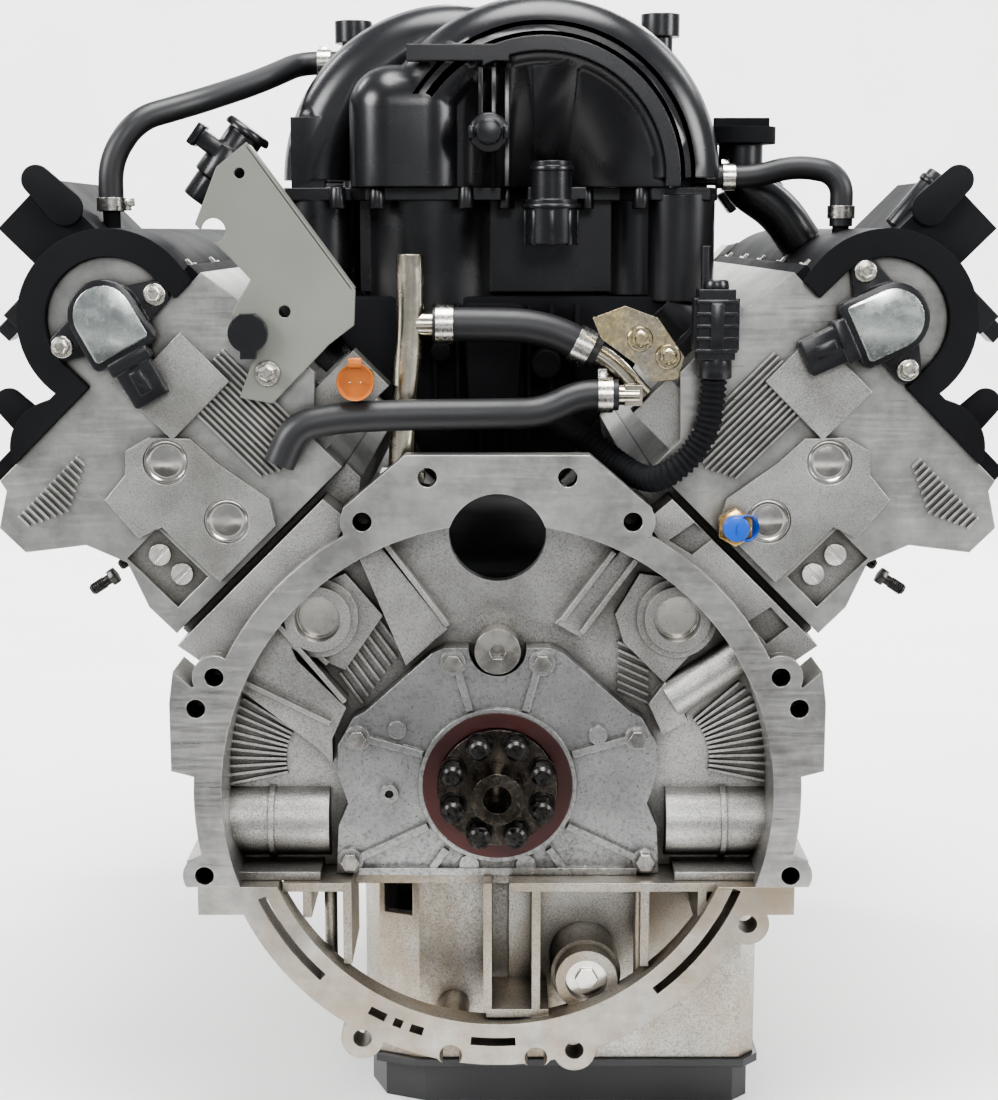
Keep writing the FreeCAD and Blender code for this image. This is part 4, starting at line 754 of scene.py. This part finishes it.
def half_bead(target, x, y, level, radius, thickness):
    """A round bead that follows a runner's arch."""
    part = bmesh.new()
    bmesh.ops.create_circle(part, segments=12, radius=thickness,
                            matrix=Matrix.Translation((radius, 0, 0)) @ ON_FACE)
    bmesh.ops.contextual_create(part, geom=list(part.edges))
    whole = list(part.faces) + list(part.edges) + list(part.verts)
    bmesh.ops.spin(part, geom=whole, cent=(0, 0, 0), axis=(0, -1, 0), dvec=(0, 0, 0),
                   angle=math.radians(180), steps=48)
    add(target, part, at(x, y, level))


RUNNER_LEVEL = 420
RIGHT_ARCH = 31
# Each bead: its level along the engine, the radius of its arch and its own radius.
for y, radius, thickness in ((63.5, 86.5, 3.4), (53.4, 95.8, 2.6), (53.2, 104, 1.5)):
    half_bead(trim, RIGHT_ARCH, y, RUNNER_LEVEL, radius, thickness)
piece("intake_trim", trim, "black_plastic")

# %% [markdown]
# The dark tray in the valley, put there for shade
#
# Between the heads, below the runners, a dark tray closes the valley. It stands in for the shade
# there: it blocks the light, and its dark colour reads as shadow. It is a trough: wide at the top,
# narrow at the bottom, with upright ribs on its rear wall. A hull round four long rods gives the
# trough, and thin plates give the ribs. A dark mat on the valley floor is painted shade too: it
# keeps the valley floor from showing bright.

# %% Valley shade tray
TRAY_TOP = 332
TROUGH = [(-120, TRAY_TOP, 6), (120, TRAY_TOP, 6), (-34, 216, 10), (34, 216, 10)]
SHADE_MAT = [(-48, 144, 3), (48, 144, 3)]
TRAY_RIBS = ((-60, 290), (-44, 268), (-28, 246), (-12, 226), (6, 226), (22, 238), (38, 258),
             (56, 282))
CABLE_BOX = [(-20, 330, 4), (14, 330, 4), (-16, 252, 4), (10, 252, 4)]
shade_tray = bmesh.new()
# The dark trough stands in for the shade inside the valley.
plate(shade_tray, TROUGH, 74, 462, 2.0)
# Painted shade: a dark sheet lying on the valley floor.
plate(shade_tray, SHADE_MAT, 46, 480, 1.0)
for x, foot in TRAY_RIBS:
    plate(shade_tray, [(x, TRAY_TOP, 1.6), (x, foot, 1.6)], 62, 76, 0.6)
plate(shade_tray, CABLE_BOX, 54, 70, 1.5)
rod(shade_tray, 11, 26, at(34, 72, 292, TOWARDS_FLYWHEEL), 10, 1.5)
rod(shade_tray, 7, 20, at(-40, 72, 300, TOWARDS_FLYWHEEL), 6.5, 1.0)
piece("valley_shade_tray", shade_tray, "black_plastic", FINISHES["cover_black"])

# %% [markdown]
# Hose clamps
#
# Each hose end is held by a spring clamp: a band of bright steel that stops short of a full turn,
# with a tab at each end. Spinning one rectangle through 332 degrees makes the band.

# %% Hose clamps
clamps = bmesh.new()
# Each clamp: its place, the radius of its hose and its width.
CLAMPS = [
    (at(-36, 18, 321, (90, "Y"), (25, "Z")), 12.0, 12),
    (at(58, 21.4, 306.2, (117, "Y"), (-30, "Z")), 12.0, 12),
    (at(73, 8, 274, (90, "Y"), (60, "Z")), 10.9, 10),
    (at(-268, 60, 402, (-60, "Z")), 9.0, 9),
    (at(-130, 188, 508, (90, "Y"), (40, "Z")), 9.0, 10),
    (at(246, 102, 397, (-30, "Z")), 8.6, 9),
    (at(166, 112, 422, (90, "Y"), (40, "Z")), 8.6, 9),
]
for place, radius, width in CLAMPS:
    spring_clamp(clamps, place, radius, width)
clamp_steel = steel("spring_steel", (0.62, 0.60, 0.56), (0.45, 0.43, 0.39), 0.25, 16)
piece("hose_clamps", clamps, "bright_steel", clamp_steel)

# %% [markdown]
# The corrugated loom
#
# The engine's wiring runs in a black split conduit whose wall rises and falls every few
# millimetres. A smooth spline follows the loom's route. Circles of two sizes are set along it,
# square to its run, and bridging each circle to the next makes the corrugated wall.

# %% Corrugated loom
LOOM = [(144, -17, 302), (144, -17, 264), (133, -17, 238), (113, -16, 221), (99.5, 1, 216.5),
        (82, 22, 226), (60, 34, 243), (40, 60, 252)]
LOOM_CREST = 9
LOOM_HOLLOW = 7.4
LOOM_PITCH = 4.2


def route(points):
    """The points of a smooth spline, in millimetres."""
    line = bpy.data.curves.new("route", "CURVE")
    line.dimensions = "3D"
    line.resolution_u = 40
    spline = line.splines.new("NURBS")
    spline.points.add(len(points) - 1)
    for knot, point in zip(spline.points, points):
        knot.co = (*point, 1)
    spline.order_u = 3
    spline.use_endpoint_u = True
    holder = bpy.data.objects.new("route", line)
    mesh = bpy.data.meshes.new_from_object(holder)
    found = [vertex.co.copy() for vertex in mesh.vertices]
    bpy.data.objects.remove(holder)
    bpy.data.meshes.remove(mesh)
    return found


def evenly(points, pitch):
    """Places along a line, a pitch apart, each with the line's direction."""
    places, travelled, goal = [], 0.0, 0.0
    for start, end in zip(points, points[1:]):
        run = (end - start).length
        way = (end - start).normalized()
        while run > 0 and travelled + run >= goal:
            places.append((start.lerp(end, (goal - travelled) / run), way))
            goal += pitch
        travelled += run
    return places


def corrugated(target, points, crest, hollow, pitch):
    """A tube along a route: of each four circles in a pitch, two are wide and two narrow."""
    part = bmesh.new()
    last = None
    for number, (centre, way) in enumerate(evenly(route(points), pitch / 4)):
        radius = crest if number % 4 in (0, 1) else hollow
        square = Matrix.Translation(centre) @ way.to_track_quat("Z", "Y").to_matrix().to_4x4()
        circle = bmesh.ops.create_circle(part, segments=20, radius=radius, matrix=square)
        edges = [edge for vertex in circle["verts"] for edge in vertex.link_edges]
        here = list(dict.fromkeys(edges))
        if last is not None:
            bmesh.ops.bridge_loops(part, edges=last + here)
        last = here
    bmesh.ops.holes_fill(part, edges=part.edges, sides=0)
    add(target, part)


loom = bmesh.new()
corrugated(loom, LOOM, LOOM_CREST, LOOM_HOLLOW, LOOM_PITCH)
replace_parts(piece("harness_loom", loom, "hose_rubber", FINISHES["cover_black"], crease=60),
            "harness_conduit")

# %% [markdown]
# Connectors and senders
#
# The tall connector of the loom has ribs, a latch and a collar. The oil and coolant senders screw
# into the heads: a brass hexagon carries a coloured nylon socket with two pins inside.

# %% Connectors and senders
shells = bmesh.new()
CONNECTOR = (144, -17)
CONNECTOR_MIDDLE = 322
for lift in (-16, -8, 0, 8, 16):
    block(shells, (27, 27, 2.6), at(*CONNECTOR, CONNECTOR_MIDDLE + lift), 0.6)
block(shells, (9, 5, 30), at(CONNECTOR[0], CONNECTOR[1] - 12.4, CONNECTOR_MIDDLE), 1.2)
rod(shells, 11.5, 16, at(*CONNECTOR, CONNECTOR_MIDDLE - 35), 11.5, 1.2)
rod(shells, 9, 6, at(*CONNECTOR, CONNECTOR_MIDDLE + 24), 8, 1.0)
piece("loom_connector_shell", shells, "black_plastic")

brass = steel("brass_hexagons", (0.60, 0.42, 0.18), (0.40, 0.27, 0.12), 0.24, 14)
hexagons, pins = bmesh.new(), bmesh.new()
coolant_socket, pressure_socket = bmesh.new(), bmesh.new()
COOLANT_AT = Vector((-135, -18.2, 268))
PRESSURE_AT = Vector((-19.1, -20.3, 245.4))
HEXAGON = 13


def socket(target, place, radius, depth):
    """A round nylon socket with an open mouth."""
    part = bmesh.new()
    bmesh.ops.create_cone(part, cap_ends=True, segments=36, radius1=radius, radius2=radius,
                          depth=depth, matrix=Matrix.Translation((0, 0, depth / 2)))
    mouth = top_face(part)
    bmesh.ops.inset_region(part, faces=[mouth], thickness=1.8)
    bmesh.ops.translate(part, vec=(0, 0, -depth * 0.6), verts=mouth.verts)
    soften(part, 0.4, 70)
    add(target, part, place)


def two_pins(place, apart, depth):
    for x in (-apart, apart):
        block(pins, (1.6, 0.7, 5), place @ at(x, 0, depth), 0.2)


spot = at(*(bank(-1) @ COOLANT_AT), TOWARDS_FLYWHEEL)
rod(hexagons, HEXAGON, 8, spot @ at(0, 0, -9), segments=6, edge=0.8)
socket(coolant_socket, spot, 12.4, 8)
block(coolant_socket, (9, 6, 7), spot @ at(0, 13, 4), 0.8)
two_pins(spot, 3.4, 5)

spot = at(*(bank(1) @ PRESSURE_AT), TOWARDS_FLYWHEEL)
rod(hexagons, HEXAGON, 9, spot @ at(0, 0, -9), segments=6, edge=0.8)
rod(pressure_socket, 9, 8, spot @ at(0, 0, -1), 8.4, 0.8)
mouth = spot @ at(4, 0, -4, (24, "Y"))
socket(pressure_socket, mouth, 9, 9)
two_pins(mouth, 2.6, 6)
piece("sender_hexagons", hexagons, "bright_steel", brass)
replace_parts(piece("coolant_sender_socket", coolant_socket, "orange_plastic"), "coolant_sensor")
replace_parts(piece("pressure_sender_socket", pressure_socket, "blue_plastic"), "pressure_sensor")
piece("sender_pins", pins, "bright_steel")

# %% [markdown]
# Brackets and their bolts
#
# The harness bracket is folded from grey-green sheet: its long edge turns back like a shelf, which
# stiffens it. The plated pipe bracket is held by two bolts. Bolts of the same kind hold the
# coolant pipe's foot, the bracket's lower end and the cam covers.

# %% Brackets and bolts
FOLD_TOP = Vector((-164, -3, 441))
FOLD_FOOT = Vector((-94, -3, 345))
fold = bmesh.new()
run = FOLD_FOOT - FOLD_TOP
slope = math.degrees(math.atan2(-run.z, run.x))
shelf = at(*((FOLD_TOP + FOLD_FOOT) / 2), (slope, "Y"))
block(fold, (run.length - 2, 22, 3), shelf @ at(0, 0, -1.6), 1.2)
block(fold, (run.length - 24, 3, 12), shelf @ at(4, 7.8, -6.6), 1.2)
piece("bracket_fold", fold, "grey_painted_steel")

bolts, yellow_bolts = bmesh.new(), bmesh.new()
PIPE_BRACKET_BOLTS = ((96, 312), (115, 300))
# The cover's bolts, by how far outboard they stand and how high up the bores.
COVER_BOLTS = {(80, 396): (24, 130, 238, 346, 452), (-104, 401): (30, 138, 246, 354, 462)}
hex_bolt(bolts, at(-153, -14.2, 290, TOWARDS_FLYWHEEL), 11, 6, 9)
hex_bolt(bolts, at(-63, -2, 213, TOWARDS_FLYWHEEL), 12, 7, 9)
for x, z in PIPE_BRACKET_BOLTS:
    hex_bolt(yellow_bolts, at(x, 4.6, z, TOWARDS_FLYWHEEL), 11, 6, 9)
for side in (-1, 1):
    for (outboard, height), row in COVER_BOLTS.items():
        for y in row:
            hex_bolt(bolts, bank(side) @ at(outboard, y, height), 9, 5, 7)
piece("engine_bolts", bolts, "bright_steel", bolt_plating)
piece("plated_bolts", yellow_bolts, "zinc_yellow_steel")

# %% [markdown]
# Valve timing solenoids
#
# Each bank's inlet camshaft is advanced by oil, and a solenoid on the valley side of the cover
# steers it: a black can with a cap and a side connector, leaning towards the intake. The right
# cover also carries a plain nipple for a vacuum line.

# %% Solenoids and nipple
CAN = 16.5
# Each solenoid: its foot and its length.
SOLENOIDS = [(at(-213, 100, 404, (36, "Y")), 62), (at(214, 196, 396, (-36, "Y")), 50)]
solenoids = bmesh.new()
for spot, length in SOLENOIDS:
    rod(solenoids, CAN - 3, length, spot, edge=1.0)
    rod(solenoids, CAN, length * 0.42, spot @ at(0, 0, length * 0.3), CAN - 0.6, 1.6)
    rod(solenoids, CAN + 1.6, 6, spot @ at(0, 0, length - 4), CAN, 2.0)
    block(solenoids, (26, 16, 13), spot @ at(-16, -6, length * 0.62), 2.0)
    block(solenoids, (6, 20, 17), spot @ at(-27, -6, length * 0.62), 1.2)
nipple = at(272, 40, 386, (38, "Y"))
rod(solenoids, 8, 46, nipple, 7, 1.2)
rod(solenoids, 8.6, 5, nipple @ at(0, 0, 36), 8.6, 1.2)
piece("timing_solenoids", solenoids, "black_plastic")

# %% [markdown]
# Core plugs
#
# The sand of a casting comes out through round holes that are closed by pressed cups. Each cup
# sits a little deep in a countersunk hole. The ring round it is coloured dark as painted shade for
# that recess, round a bright, slightly domed face. The ring is a spun section, and the dome is a
# cup whose face is inset in steps that rise towards the middle.

# %% Core plugs
rims, domes = bmesh.new(), bmesh.new()


def core_plug(place, radius):
    """A countersunk rim and a shallow dome, facing along +Z."""
    part = bmesh.new()
    inside, outside = radius - 0.4, radius + 2.0
    spin_section(part, [(inside, 0, 0.1), (outside, 0, 0.1), (outside, 0, 0.5),
                        (radius + 0.6, 0, 0.9), (inside, 0, 0.6)], 360, 48, merge=True)
    bmesh.ops.remove_doubles(part, verts=part.verts, dist=0.01)
    section = [face for face in part.faces if len(face.verts) == 5]
    bmesh.ops.delete(part, geom=section, context="FACES_ONLY")
    add(rims, part, place)
    cup = bmesh.new()
    bmesh.ops.create_cone(cup, cap_ends=True, segments=48, radius1=radius - 0.5,
                          radius2=radius - 1.6, depth=1.2,
                          matrix=Matrix.Translation((0, 0, 0.4)))
    crown = top_face(cup)
    bmesh.ops.inset_region(cup, faces=[crown], thickness=radius * 0.12, depth=-0.9)
    for step in range(5):
        rise = 0.34 - 0.06 * step
        bmesh.ops.inset_region(cup, faces=[crown], thickness=radius * 0.13, depth=rise)
    add(domes, cup, place)


DECK = 234.2
PLUG_HEIGHTS = (86.8, 29.8)
PLUG_RADIUS = 15.5
plug_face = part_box("head_core_plugs")[0].y / MM + 0.6
for side in (-1, 1):
    for height in PLUG_HEIGHTS:
        centre = bank(side) @ Vector((-4, 0, DECK + height))
        core_plug(at(centre.x, plug_face, centre.z, TOWARDS_FLYWHEEL), PLUG_RADIUS)
# Painted shade: the rim's dark colour stands in for the shade in the countersunk recess.
rim_shade_finish = steel("countersink_shade", (0.16, 0.155, 0.15), (0.07, 0.068, 0.065), 0.5, 8)
piece("core_plug_rims", rims, "dark_bolt_steel", rim_shade_finish)
piece("core_plug_domes", domes, "bright_steel")

# %% [markdown]
# Studs below the exhaust ports
#
# The exhaust manifold bolts to studs along each head. They carry a hexagon to drive them and end
# in a thread, here a stack of thin rings on a core.

# %% Exhaust studs
STUD_PLACES = (18, 118, 226, 334, 442)
STUD_LEAN = 78
THREAD_TURNS = 6
THREAD_PITCH = 1.7
studs = bmesh.new()
for side in (-1, 1):
    for y in STUD_PLACES:
        stud = bank(side) @ at(82, y, 292, (STUD_LEAN, "Y"))
        rod(studs, 6.4, 5, stud, segments=6, edge=0.6)
        rod(studs, 3.6, 17, stud @ at(0, 0, 4), 3.4, 0.5, 20)
        for turn in range(THREAD_TURNS):
            rod(studs, 4.2, 1.0, stud @ at(0, 0, 10 + turn * THREAD_PITCH), 4.2, 0.35, 20)
piece("exhaust_studs", studs, "dark_bolt_steel")

# %% [markdown]
# Trim on the cam covers
#
# Two flat lugs with round ends stick out of each cover's flywheel end to carry the wiring, and a row
# of small clips runs along its outer rail.

# %% Cam cover trim
WIRING_LUGS = ((-78, 512), (44, 424))
CLIP_PLACES = (60, 168, 276, 384, 470)
cover_trim = bmesh.new()
for side in (-1, 1):
    for outboard, height in WIRING_LUGS:
        lug = bank(side) @ at(outboard, 8, height)
        plate(cover_trim, [(0, 0, 10), (0, -26, 12)], -3, 1, 0.8, lug)
    for y in CLIP_PLACES:
        block(cover_trim, (22, 12, 8), bank(side) @ at(78, y, 399), 1.5)
piece("cam_cover_trim", cover_trim, "cover_black")
